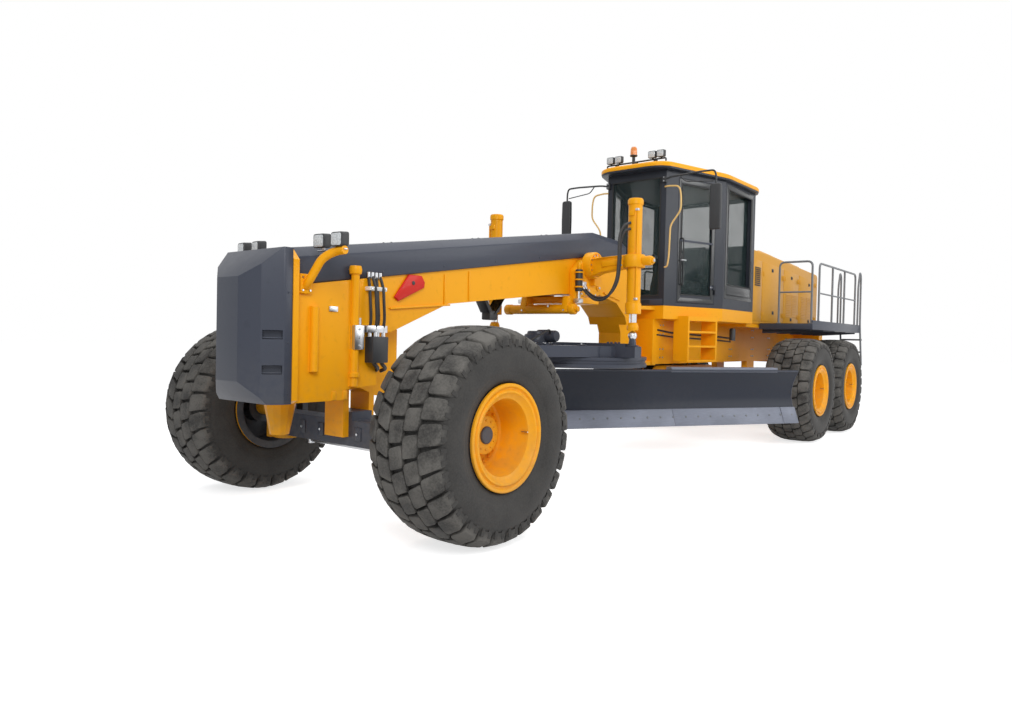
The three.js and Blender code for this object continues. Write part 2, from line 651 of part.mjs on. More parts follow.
// Two hoses from a block on the saddle's left cheek up to the lift cylinder's head
function saddleHoses() {
  const cheekX = BEAM_HALF_WIDTH + 110 + SEAT_GAP * 2;
  const block = box(cheekX, cheekX + 70, LIFT_Y - 220, LIFT_Y - 90, 2540, 2640);
  const wall = LIFT_X - LIFT_BARREL_RADIUS;
  const lines = [0, 1].map((i) => tube([
    [cheekX + 40, LIFT_Y - 120 - 70 * i, 2590],
    [cheekX + 110, LIFT_Y - 130 - 60 * i, 2500],
    [cheekX + 300, LIFT_Y - 180 - 50 * i, 2410 - 30 * i],
    [cheekX + 480, LIFT_Y - 180 - 50 * i, 2440 - 30 * i],
    [wall - 60, LIFT_Y - 170 - 40 * i, 2620],
    [wall - 30, LIFT_Y - 160 - 40 * i, 2900],
    [wall - 30, LIFT_Y - 150 - 40 * i, 3150 + 60 * i],
    [wall + 20, LIFT_Y - 140 - 20 * i, 3290 + 70 * i],
    [wall + 80, LIFT_Y - 100, 3330 + 80 * i],
  ], 20, 24));
  const barrelRoom = rod([LIFT_X, LIFT_Y, LIFT_BOTTOM_Z], [LIFT_X, LIFT_Y, LIFT_TOP_Z],
      LIFT_BARREL_RADIUS + SEAT_GAP * 2, 14);
  return cut(join(block, ...lines), barrelRoom);
}

place('saddle_hoses', saddleHoses(), 'hose');
placePair('lift_cylinder', liftCylinder(), 'yellow');
placePair('lift_rod', liftRod(), 'chrome');
place('blade_saddle', bladeSaddle(), 'yellow');

// ---------------------------------------------------------------- drawbar and circle
function drawbar() {
  const plateBottom = CIRCLE_TOP_Z + RUN_GAP;
  const plateTop = plateBottom + DRAWBAR_PLATE;
  const neckEnd = CIRCLE_Y - CIRCLE_BORE + 60;
  const head = ball([0, BALL_Y, BALL_Z], BALL_RADIUS, 14);
  const cheeks = rod([-BALL_CHEEK, BALL_Y, BALL_Z], [BALL_CHEEK, BALL_Y, BALL_Z], 78, 14);
  const neck = rod([0, BALL_Y, BALL_Z], [0, BALL_Y + 420, BALL_Z + 30], 62, 12, 90);
  const bar = sideProfile(
    [[BALL_Y + 330, BALL_Z + 10], [BALL_Y + 330, BALL_Z + 130], [2300, plateTop + 60],
        [CIRCLE_Y - CIRCLE_RADIUS, plateTop],
      [neckEnd + 200, plateTop], [neckEnd + 200, plateBottom], [CIRCLE_Y - CIRCLE_RADIUS - 60, plateBottom]],
    -130,
    130,
  );
  const arms = [-1, 1].map((end) => plan(
    [[end * 40, 1450], [end * 190, 1450], [end * 900, CIRCLE_Y - 620], [end * 900, CIRCLE_Y - 380],
      [end * 700, CIRCLE_Y - 520]],
    plateBottom,
    plateTop,
  ));
  const ring = turned(
    [[CIRCLE_BORE - 220, plateBottom], [CIRCLE_RADIUS - 90, plateBottom], [CIRCLE_RADIUS - 90, plateTop],
      [CIRCLE_BORE - 220, plateTop], [CIRCLE_BORE - 220, plateBottom]],
    0,
    CIRCLE_Y,
    32,
  );
  const crossbar = box(-LIFT_X + 60, LIFT_X - 60, LIFT_Y - 90, LIFT_Y + 90, plateBottom, plateTop + 40);
  const posts = [-1, 1].map((end) => rod([end * LIFT_X, LIFT_Y, plateBottom],
      [end * LIFT_X, LIFT_Y, LIFT_BALL_Z - 30], 80, 12, 40));
  const pads = [-1, 1].map((end) => box(end * (LIFT_X - 90), end * (LIFT_X + 90), LIFT_Y - 90, LIFT_Y + 90,
      plateBottom, plateTop));
  const balls = [-1, 1].map((end) => ball([end * LIFT_X, LIFT_Y, LIFT_BALL_Z], LIFT_BALL_RADIUS, 10));
  return join(head, cheeks, neck, bar, ...arms, ring, crossbar, ...pads, ...posts, ...balls);
}

function circleDrive() {
  const deck = CIRCLE_TOP_Z + RUN_GAP + DRAWBAR_PLATE + SEAT_GAP;
  const y = CIRCLE_Y - 760;
  const housing = turned([[0, deck], [210, deck], [210, deck + 150], [150, deck + 190], [0, deck + 190]], 0,
      y, 14);
  const motor = rod([0, y, deck + 120], [330, y, deck + 120], 90, 12);
  return join(housing, motor);
}

function circle() {
  const ring = turned(
    [[CIRCLE_BORE, CIRCLE_BOTTOM_Z], [CIRCLE_RADIUS, CIRCLE_BOTTOM_Z], [CIRCLE_RADIUS, CIRCLE_TOP_Z],
      [CIRCLE_BORE, CIRCLE_TOP_Z], [CIRCLE_BORE, CIRCLE_BOTTOM_Z]],
    0,
    CIRCLE_Y,
    40,
  );
  const arms = [-1, 1].map((end) => {
    const p0 = Math.min(end * ARM_P, end * (ARM_P - ARM_WIDTH));
    return bladeProfile(
      [[CARRIER_Q - 90, CARRIER_Z - 90], [CARRIER_Q + 70, CARRIER_Z - 90],
          [CARRIER_Q + 70, CIRCLE_BOTTOM_Z - 120],
        [CARRIER_Q + 70, CIRCLE_BOTTOM_Z + 60], [CARRIER_Q - 330, CIRCLE_BOTTOM_Z + 60],
        [CARRIER_Q - 330, CIRCLE_BOTTOM_Z - 20], [CARRIER_Q - 90, CIRCLE_BOTTOM_Z - 260]],
      p0,
      p0 + ARM_WIDTH,
    );
  });
  const bores = rod(bladePoint(-1000, CARRIER_Q, CARRIER_Z), bladePoint(1000, CARRIER_Q, CARRIER_Z),
    boreRadius(CARRIER_PIN_RADIUS, 12), 12);
  return cut(join(ring, ...arms), bores);
}

// ---------------------------------------------------------------- blade
const RAIL_HALF = 1850;
const RAIL_Z = [CARRIER_Z + 20, SHIFT_Z + 180];

// q of the blade's front face at height z: a shallow arc between its two edges
function bladeFaceQ(z) {
  const share = (z - BLADE_BOTTOM_Z) / (BLADE_TOP_Z - BLADE_BOTTOM_Z);
  return BLADE_EDGE_Q - BLADE_DEPTH * Math.sin(Math.PI * Math.min(share, 1)) - 60 * share;
}

function moldboard() {
  const start = BLADE_SHIFT - BLADE_LENGTH / 2;
  const end = BLADE_SHIFT + BLADE_LENGTH / 2;
  const steps = 7;
  const edgeTop = BLADE_BOTTOM_Z + EDGE_HEIGHT;
  const heights = [edgeTop - EDGE_LAP];
  for (let i = 0; i <= steps; i += 1) {
    heights.push(edgeTop + ((BLADE_TOP_Z - edgeTop) * i) / steps);
  }
  const face = heights.map((z) => [bladeFaceQ(z), z]);
  const back = heights.map((z) => [bladeFaceQ(z) - BLADE_PLATE, z]);
  const plate = bladeProfile([...face, ...back.reverse()], start, end);
  const rails = RAIL_Z.map((z) => bladeBox(BLADE_SHIFT - RAIL_HALF, BLADE_SHIFT + RAIL_HALF,
    bladeFaceQ(z) - BLADE_PLATE - RAIL_DEPTH, bladeFaceQ(z) - BLADE_PLATE, z - 40, z + 40));
  const lugP = BLADE_SHIFT + 1350;
  const lug = bladeBox(lugP, lugP + 70, SHIFT_Q - 60, bladeFaceQ(SHIFT_Z) - BLADE_PLATE + 10, SHIFT_Z - 70,
      SHIFT_Z + 70);
  const shiftRod = rod(bladePoint(-120, SHIFT_Q, SHIFT_Z), bladePoint(lugP + 20, SHIFT_Q, SHIFT_Z),
      SHIFT_ROD_RADIUS, 12);
  return join(plate, ...rails, lug, shiftRod);
}

function cuttingEdge() {
  const start = BLADE_SHIFT - BLADE_LENGTH / 2;
  const end = BLADE_SHIFT + BLADE_LENGTH / 2;
  const topZ = BLADE_BOTTOM_Z + EDGE_HEIGHT;
  const lapZ = topZ - EDGE_LAP;
  const faceTop = bladeFaceQ(topZ) + SEAT_GAP * 2;
  const faceLap = bladeFaceQ(lapZ) + SEAT_GAP * 2;
  const faceLow = faceLap + ((faceLap - faceTop) * (lapZ - BLADE_BOTTOM_Z)) / EDGE_LAP;
  return bladeProfile(
    [[faceLow, BLADE_BOTTOM_Z], [faceLow + 12, BLADE_BOTTOM_Z], [faceTop + EDGE_THICK, topZ],
        [faceTop, topZ]],
    start,
    end,
  );
}

function bladeCarrier() {
  const pin = rod(bladePoint(-ARM_P - 180, CARRIER_Q, CARRIER_Z),
      bladePoint(ARM_P + 180, CARRIER_Q, CARRIER_Z),
    CARRIER_PIN_RADIUS, 12);
  const collars = [-1, 1].map((end) => rod(
    bladePoint(end * (ARM_P + RUN_GAP), CARRIER_Q, CARRIER_Z),
    bladePoint(end * (ARM_P + 40), CARRIER_Q, CARRIER_Z),
    72,
    14,
  ));
  const shoes = [];
  const rooms = [];
  for (const end of [-1, 1]) {
    const p0 = Math.min(end * (ARM_P + CLEAR + 14), end * (ARM_P + 180));
    shoes.push(bladeBox(p0, p0 + 160, CARRIER_Q - 75, CARRIER_Q + 75, CARRIER_Z - 75, RAIL_Z[1] + 80));
    shoes.push(bladeBox(p0, p0 + 160, CARRIER_Q, SHIFT_Q, SHIFT_Z - 45, SHIFT_Z + 45));
    for (const z of RAIL_Z) {
      const railBack = bladeFaceQ(z) - BLADE_PLATE - RAIL_DEPTH;
      shoes.push(bladeBox(p0, p0 + 160, CARRIER_Q, railBack + 25, z - 75, z + 75));
      rooms.push(bladeBox(-4000, 4000, railBack - RUN_GAP, railBack + 200, z - 40 - RUN_GAP,
          z + 40 + RUN_GAP));
    }
  }
  const barrel = rod(bladePoint(-ARM_P - 100, SHIFT_Q, SHIFT_Z), bladePoint(ARM_P + 100, SHIFT_Q, SHIFT_Z),
    SHIFT_BARREL_RADIUS, 12);
  const bore = rod(bladePoint(-ARM_P - 60, SHIFT_Q, SHIFT_Z), bladePoint(ARM_P + 300, SHIFT_Q, SHIFT_Z),
    SHIFT_ROD_RADIUS + RUN_GAP, 12);
  return cut(join(pin, ...collars, ...shoes, barrel), ...rooms, bore);
}

place('drawbar', drawbar(), 'slate');
place('circle_drive', circleDrive(), 'slate');
place('circle', circle(), 'slate');
place('blade_carrier', bladeCarrier(), 'slate');
place('moldboard', moldboard(), 'slate');
place('cutting_edge', cuttingEdge(), 'edge');

// ---------------------------------------------------------------- lamps and hoses of the front frame
function workLights() {
  const arm = tube([[NOSE_HALF_WIDTH - 35, -880, 2300], [560, -860, 2440], [640, -800, 2560],
      [680, -760, 2600], [820, -755, 2605]], 28, 10);
  const bar = rod([470, -755, 2605], [830, -755, 2605], 22, 10);
  const lamps = [510, 810].map((x) => box(x - 70, x + 70, -810, -700, 2620, 2750));
  const feet = [510, 810].map((x) => box(x - 20, x + 20, -780, -730, 2590, 2640));
  const foot = box(NOSE_HALF_WIDTH - 40 + SEAT_GAP, NOSE_HALF_WIDTH, -940, -820, 2230, 2370);
  return join(arm, bar, ...lamps, ...feet, foot);
}

function frontHoses() {
  const wallX = NOSE_HALF_WIDTH - 40;
  const block = box(wallX + SEAT_GAP, wallX + 130, -160, 40, 1560, 1830);
  const hoses = [0, 1, 2, 3].map((i) => {
    const y = -140 + 50 * i;
    const x = wallX + 50 + 14 * (i % 2);
    return tube([[x, y, 1810], [x + 20, y, 2000], [x + 30, y - 20, 2150], [x, y - 10, 2300],
        [x - 25, y, 2420]], 18, 8);
  });
  return join(block, ...hoses);
}

placePair('work_lights', workLights(), 'yellow');
place('front_hoses', frontHoses(), 'hose');

// ---------------------------------------------------------------- rear frame, axle and tandems
function cabPlan(inset) {
  const slant = Math.hypot(CAB_HALF - CAB_FRONT_HALF, CAB_DOOR_END_Y - CAB_FRONT_Y);
  const run = (CAB_DOOR_END_Y - CAB_FRONT_Y) / slant;
  const rise = (CAB_HALF - CAB_FRONT_HALF) / slant;
  const side = CAB_HALF - inset;
  const frontY = CAB_FRONT_Y + inset;
  // The slanted side moved inwards, met with the front line and the straight side
  const atFront = CAB_FRONT_HALF + (inset * rise - inset) / run;
  const atSide = CAB_DOOR_END_Y + (inset * (1 - run)) / -rise;
  return [[atFront, frontY], [side, atSide], [side, CAB_REAR_Y - inset], [-side, CAB_REAR_Y - inset],
      [-side, atSide],
    [-atFront, frontY]];
}

function rearFrame() {
  const rails = [-1, 1].map((end) => box(end * (FRAME_HALF_WIDTH - 140), end * FRAME_HALF_WIDTH,
      CAB_FRONT_Y - 60, REAR_Y - 200,
    FRAME_BOTTOM_Z, FRAME_TOP_Z));
  const crossY = [[CAB_FRONT_Y - 60, CAB_FRONT_Y + 60], [7600, 7760], [9100, 9260],
      [REAR_Y - 500, REAR_Y - 200]];
  const crosses = crossY.map(([y0, y1]) => box(-FRAME_HALF_WIDTH + 50, FRAME_HALF_WIDTH - 50, y0, y1,
      FRAME_BOTTOM_Z, FRAME_TOP_Z));
  const earRadius = HITCH_BARREL_RADIUS + 20;
  const ears = [[HITCH_TOP_Z + CLEAR, HITCH_TOP_Z + CLEAR + HITCH_EAR],
      [HITCH_BOTTOM_Z - CLEAR - HITCH_EAR, HITCH_BOTTOM_Z - CLEAR]]
    .map(([z0, z1]) => join(
      rod([0, HITCH_Y, z0], [0, HITCH_Y, z1], earRadius, 16),
      plan([[-earRadius, HITCH_Y], [earRadius, HITCH_Y], [FRAME_HALF_WIDTH, CAB_FRONT_Y],
          [FRAME_HALF_WIDTH, CAB_FRONT_Y + 60],
        [-FRAME_HALF_WIDTH, CAB_FRONT_Y + 60], [-FRAME_HALF_WIDTH, CAB_FRONT_Y]], z0, z1),
    ));
  const upright = box(-FRAME_HALF_WIDTH + 60, FRAME_HALF_WIDTH - 60, CAB_FRONT_Y, CAB_FRONT_Y + 60,
      FRAME_TOP_Z - 20, HITCH_TOP_Z + 20);
  const pin = rod([0, HITCH_Y, HITCH_BOTTOM_Z - 80], [0, HITCH_Y, HITCH_TOP_Z + 80], HITCH_PIN_RADIUS, 16);
  const collar = rod([0, HITCH_Y, HITCH_BOTTOM_Z - 20], [0, HITCH_Y, HITCH_BOTTOM_Z - RUN_GAP], 150, 16);
  const cabBase = plan(cabPlan(0), FRAME_TOP_Z, CAB_FLOOR_Z - SEAT_GAP);
  const deck = box(-HOOD_HALF, HOOD_HALF, CAB_REAR_Y - 60, REAR_Y - 200, FRAME_TOP_Z - 60, FRAME_TOP_Z);
  const tail = sideProfile([[REAR_Y - 260, 1380], [REAR_Y - 60, 1380], [REAR_Y, 1500], [REAR_Y, 2120],
      [REAR_Y - 260, FRAME_TOP_Z]],
    -1000, 1000);
  const hangers = [-1, 1].map((end) => box(end * 270, end * 390, TANDEM_Y - 200, TANDEM_Y + 200,
      AXLE_Z + 200, FRAME_BOTTOM_Z + 20));
  const steps = [cabSteps(), mirrored(cabSteps())];
  return join(...rails, ...crosses, ...ears, upright, pin, collar, cabBase, deck, tail, ...hangers, ...steps);
}

// Hanging steps under the left door, along the slanted side
function cabSteps() {
  const slope = (CAB_HALF - CAB_FRONT_HALF) / (CAB_DOOR_END_Y - CAB_FRONT_Y);
  const outX = (y) => STEP_FRONT_X + (y - STEP_FRONT_Y) * slope;
  const slab = (y0, y1, depth, z0, z1) => plan(
    [[outX(y0) - depth, y0], [outX(y0), y0], [outX(y1), y1], [outX(y1) - depth, y1]],
    z0,
    z1,
  );
  const sideTop = FRAME_TOP_Z + 10;
  const front = slab(STEP_FRONT_Y, STEP_FRONT_Y + STEP_SIDE, STEP_DEPTH, STEP_LOW_Z, sideTop);
  const rear = slab(STEP_REAR_Y - STEP_SIDE, STEP_REAR_Y, STEP_DEPTH, STEP_LOW_Z, sideTop);
  const treads = [0, 1, 2].map((i) => slab(STEP_FRONT_Y, STEP_REAR_Y, STEP_DEPTH,
    STEP_LOW_Z + STEP_RISE * i, STEP_LOW_Z + STEP_RISE * i + STEP_THICK));
  const hanger = slab(STEP_FRONT_Y, STEP_REAR_Y, STEP_DEPTH + 150, FRAME_TOP_Z - 20, FRAME_TOP_Z + 60);
  return join(front, rear, ...treads, hanger);
}

function rearAxle() {
  const centreZ = AXLE_Z;
  const tube0 = rod([-TANDEM_IN_X + SEAT_GAP, TANDEM_Y, centreZ],
      [TANDEM_IN_X - SEAT_GAP, TANDEM_Y, centreZ], 170, 16);
  const housing = ball([0, TANDEM_Y, centreZ], 250, 12);
  const pads = [-1, 1].map((end) => box(end * 270, end * 390, TANDEM_Y - 150, TANDEM_Y + 150, centreZ,
      centreZ + 200 - SEAT_GAP));
  return join(tube0, housing, ...pads);
}

function tandemCase() {
  const ends = [TANDEM_FRONT_Y, TANDEM_FRONT_Y + TANDEM_SPACING];
  const radius = TANDEM_HALF_HEIGHT;
  const rounds = ends.map((y) => rod([TANDEM_IN_X, y, AXLE_Z], [TANDEM_OUT_X, y, AXLE_Z], radius, 16));
  const body = box(TANDEM_IN_X, TANDEM_OUT_X, ends[0], ends[1], AXLE_Z - radius, AXLE_Z + radius);
  return join(...rounds, body, ...ends.map((y) => spindle(TANDEM_OUT_X - 20, y)));
}

place('rear_frame', rearFrame(), 'yellow');
place('rear_axle', rearAxle(), 'slate');
placePair('tandem_case', tandemCase(), 'yellow');

// ---------------------------------------------------------------- cab
// Point on the left slanted side: share along it from the front corner, and depth inwards
function slantPoint(share, depth) {
  const inX = -(CAB_DOOR_END_Y - CAB_FRONT_Y) / SLANT_LENGTH;
  const inY = (CAB_HALF - CAB_FRONT_HALF) / SLANT_LENGTH;
  return [
    CAB_FRONT_HALF + (CAB_HALF - CAB_FRONT_HALF) * share + inX * depth,
    CAB_FRONT_Y + (CAB_DOOR_END_Y - CAB_FRONT_Y) * share + inY * depth,
  ];
}

function slantSlab(share0, share1, depth0, depth1, z0, z1) {
  return plan([slantPoint(share0, depth0), slantPoint(share1, depth0), slantPoint(share1, depth1),
      slantPoint(share0, depth1)], z0, z1);
}

const DOOR_GAP = 5; // round the door's edges
const DOOR_STILE = 0.055; // width of the door's frame, as a share of the slanted side
const SLANT_LENGTH = Math.hypot(CAB_HALF - CAB_FRONT_HALF, CAB_DOOR_END_Y - CAB_FRONT_Y);
const DOOR_BOTTOM_Z = CAB_FLOOR_Z + 60;
const DOOR_TOP_Z = CAB_TOP_Z - 90;
const SIDE_GLASS_Y = [CAB_DOOR_END_Y + 150, CAB_REAR_Y - 200];
const SIDE_GLASS_Z = [CAB_FLOOR_Z + 420, CAB_TOP_Z - 110];

function cabShell() {
  const outer = plan(cabPlan(0), CAB_FLOOR_Z, CAB_TOP_Z);
  const inner = plan(cabPlan(CAB_WALL), CAB_FLOOR_Z + 50, CAB_TOP_Z - CAB_WALL);
  const windscreen = box(-CAB_FRONT_HALF + 90, CAB_FRONT_HALF - 90, CAB_FRONT_Y - 50, CAB_FRONT_Y + 120,
      CAB_FLOOR_Z + 160, CAB_TOP_Z - 110);
  const doorway = slantSlab(DOOR_START, DOOR_END, -50, 130, DOOR_BOTTOM_Z, DOOR_TOP_Z);
  const sideWindow = box(CAB_HALF - 200, CAB_HALF + 50, SIDE_GLASS_Y[0], SIDE_GLASS_Y[1], SIDE_GLASS_Z[0],
      SIDE_GLASS_Z[1]);
  const rearWindow = box(-CAB_HALF + 190, CAB_HALF - 190, CAB_REAR_Y - 150, CAB_REAR_Y + 50,
      CAB_FLOOR_Z + 1250, CAB_TOP_Z - 110);
  const shell = cut(outer, inner, windscreen, doorway, mirrored(doorway), sideWindow, mirrored(sideWindow),
      rearWindow);
  const barrels = HINGE_Z.map((z) => hingeBarrel(z - 80, z, 1));
  return join(shell, ...barrels, ...barrels.map(mirrored));
}

// Pins of a door hinge stand outside its rear edge; the door's barrel sits on the cab's
const HINGE_OUT = 24;
const HINGE_RADIUS = 15;
const HINGE_LEAF = 46;
const HINGE_Z = [DOOR_BOTTOM_Z + 250, DOOR_TOP_Z - 350];

function hingeBarrel(z0, z1, towards) {
  const [x, y] = slantPoint(DOOR_END, -HINGE_OUT);
  const barrel = rod([x, y, z0], [x, y, z1], HINGE_RADIUS, 10);
  const share = HINGE_LEAF / SLANT_LENGTH;
  const leaf = slantSlab(
    towards < 0 ? DOOR_END - share : DOOR_END + 0.004,
    towards < 0 ? DOOR_END - 0.004 : DOOR_END + share,
    -HINGE_OUT - 5,
    4,
    z0,
    z1,
  );
  const bridge = slantSlab(
    towards < 0 ? DOOR_END - 0.02 : DOOR_END,
    towards < 0 ? DOOR_END : DOOR_END + 0.02,
    -HINGE_OUT - 5,
    -HINGE_OUT + 5,
    z0,
    z1,
  );
  return join(barrel, leaf, bridge);
}

function door() {
  const start = DOOR_START + DOOR_GAP / SLANT_LENGTH;
  const end = DOOR_END - DOOR_GAP / SLANT_LENGTH;
  const leaf = slantSlab(start, end, 0, DOOR_THICK, DOOR_BOTTOM_Z + CLEAR, DOOR_TOP_Z - CLEAR);
  const light = slantSlab(start + DOOR_STILE, end - DOOR_STILE, -20, 100, DOOR_BOTTOM_Z + 130,
      DOOR_TOP_Z - 90);
  const barrels = HINGE_Z.map((z) => hingeBarrel(z + RUN_GAP, z + 80, -1));
  return join(cut(leaf, light), ...barrels);
}

function doorGlass() {
  const inset = (DOOR_GAP + SEAT_GAP) / SLANT_LENGTH + DOOR_STILE;
  const start = DOOR_START + inset;
  const end = DOOR_END - inset;
  return slantSlab(start, end, 20, 20 + GLASS, DOOR_BOTTOM_Z + 130.3, DOOR_TOP_Z - 90.3);
}

function windscreen() {
  return box(-CAB_FRONT_HALF + 90.3, CAB_FRONT_HALF - 90.3, CAB_FRONT_Y + 20, CAB_FRONT_Y + 20 + GLASS,
      CAB_FLOOR_Z + 160.3, CAB_TOP_Z - 110.3);
}

// One pane each side and one behind, held against the inside of the posts
function rearGlass() {
  const z0 = CAB_FLOOR_Z + 330;
  const z1 = CAB_TOP_Z - CAB_WALL - 1;
  const out = CAB_HALF - CAB_WALL - SEAT_GAP;
  const backY = CAB_REAR_Y - CAB_WALL - SEAT_GAP;
  const outer = box(-out, out, SIDE_GLASS_Y[0] - 60, backY, z0, z1);
  const inner = box(-out + GLASS, out - GLASS, SIDE_GLASS_Y[0] - 100, backY - GLASS, z0 - 10, z1 + 10);
  return cut(outer, inner);
}

function cabRoof() {
  const z0 = CAB_TOP_Z + SEAT_GAP;
  const outline = [[430, 5740], [640, 5870], [1080, 7330], [1110, 8700], [1010, 8930]];
  const whole = [...outline, ...outline.map(([x, y]) => [-x, y]).reverse()];
  const lower = plan(whole, z0, ROOF_TOP_Z - 45);
  const upper = plan(whole.map(([x, y]) => [x * 0.955, (y - 7400) * 0.965 + 7400]), ROOF_TOP_Z - 60,
      ROOF_TOP_Z);
  return join(lower, upper);
}

function roofLamps() {
  const z0 = ROOF_TOP_Z + SEAT_GAP;
  const bar = box(-560, 560, 5930, 5990, z0, z0 + 40);
  const spine = box(-260, -200, 5930, 6340, z0, z0 + 30);
  const lamps = [-470, -310, 310, 470].map((x) => box(x - 65, x + 65, 5890, 5990, z0 + 60, z0 + 190));
  const stems = [-470, -310, 310, 470].map((x) => box(x - 15, x + 15, 5935, 5985, z0 + 30, z0 + 70));
  const beaconBase = rod([-230, 6290, z0], [-230, 6290, z0 + 250], 40, 12);
  const beacon = rod([-230, 6290, z0 + 250], [-230, 6290, z0 + 420], 70, 12, 58);
  return join(bar, spine, ...lamps, ...stems, beaconBase, beacon);
}

function mirror() {
  const arm = tube([[CAB_FRONT_HALF - 10, 5978, 4480], [700, 5940, 4500], [1200, 5980, 4520],
      [1390, 6000, 4500], [1400, 6000, 4420],
    [1400, 6000, 4300]], 16, 12);
  const foot = box(CAB_FRONT_HALF - 60, CAB_FRONT_HALF + 10, 5950, CAB_FRONT_Y - SEAT_GAP, 4430, 4530);
  const head = box(1300, 1500, 5950, 6040, 3560, 4320);
  return join(arm, foot, head);
}

function seat() {
  const base = box(-180, 180, 7750, 8150, CAB_FLOOR_Z + 50 + SEAT_GAP, CAB_FLOOR_Z + 420);
  const cushion = box(-260, 260, 7620, 8200, CAB_FLOOR_Z + 400, CAB_FLOOR_Z + 540);
  const back = sideProfile([[8120, CAB_FLOOR_Z + 500], [8270, CAB_FLOOR_Z + 500],
      [8400, CAB_FLOOR_Z + 1250], [8290, CAB_FLOOR_Z + 1250]], -240, 240);
  const rest = [-1, 1].map((end) => box(end * 270, end * 380, 7700, 8150, CAB_FLOOR_Z + 560,
      CAB_FLOOR_Z + 660));
  const pods = [-1, 1].map((end) => box(end * 250, end * 330, 7800, 8100, CAB_FLOOR_Z + 430,
      CAB_FLOOR_Z + 600));
  return join(base, cushion, back, ...rest, ...pods);
}

function steeringConsole() {
  const post = sideProfile([[6700, CAB_FLOOR_Z + 50.3], [6950, CAB_FLOOR_Z + 50.3],
      [7150, CAB_FLOOR_Z + 800], [7080, CAB_FLOOR_Z + 860], [6960, CAB_FLOOR_Z + 800]], -110, 110);
  const pod = box(-240, 240, 6980, 7140, CAB_FLOOR_Z + 780, CAB_FLOOR_Z + 900);
  const rim = rod([0, 7190, CAB_FLOOR_Z + 930], [0, 7205, CAB_FLOOR_Z + 965], 200, 16);
  const column = rod([0, 7060, CAB_FLOOR_Z + 800], [0, 7200, CAB_FLOOR_Z + 945], 28, 12);
  return join(post, pod, rim, column);
}

place('cab_shell', cabShell(), 'slate');
place('cab_roof', cabRoof(), 'yellow');
place('roof_lamps', roofLamps(), 'plastic');
placePair('door', door(), 'slate');
placePair('door_glass', doorGlass(), 'glass');
place('windscreen', windscreen(), 'glass');
place('rear_glass', rearGlass(), 'glass');
placePair('mirror', mirror(), 'plastic');
place('seat', seat(), 'fabric');
place('steering_console', steeringConsole(), 'plastic');

// ---------------------------------------------------------------- engine and platforms
function engineHood() {
  const rearFaceY = REAR_Y - 150;
  const outer = sideProfile([[HOOD_FRONT_Y, FRAME_TOP_Z + SEAT_GAP], [rearFaceY, FRAME_TOP_Z + SEAT_GAP],
      [rearFaceY, HOOD_REAR_TOP_Z - 60],
    [rearFaceY - 60, HOOD_REAR_TOP_Z], [9700, HOOD_FRONT_TOP_Z], [HOOD_FRONT_Y, HOOD_FRONT_TOP_Z]],
        -HOOD_HALF, HOOD_HALF);
  const inner = sideProfile([[HOOD_FRONT_Y + HOOD_WALL, FRAME_TOP_Z - 20],
      [rearFaceY - HOOD_WALL, FRAME_TOP_Z - 20],
    [rearFaceY - HOOD_WALL, HOOD_REAR_TOP_Z - 110], [9700, HOOD_FRONT_TOP_Z - HOOD_WALL],
        [HOOD_FRONT_Y + HOOD_WALL, HOOD_FRONT_TOP_Z - HOOD_WALL]],
    -HOOD_HALF + HOOD_WALL, HOOD_HALF - HOOD_WALL);
  return cut(outer, inner);
}

function engineBlock() {
  return box(-450, 450, 9700, 12100, FRAME_TOP_Z + SEAT_GAP, 3250);
}

function railLoop(points) {
  return tube(points, RAIL_RADIUS, points.length * 2, 6);
}

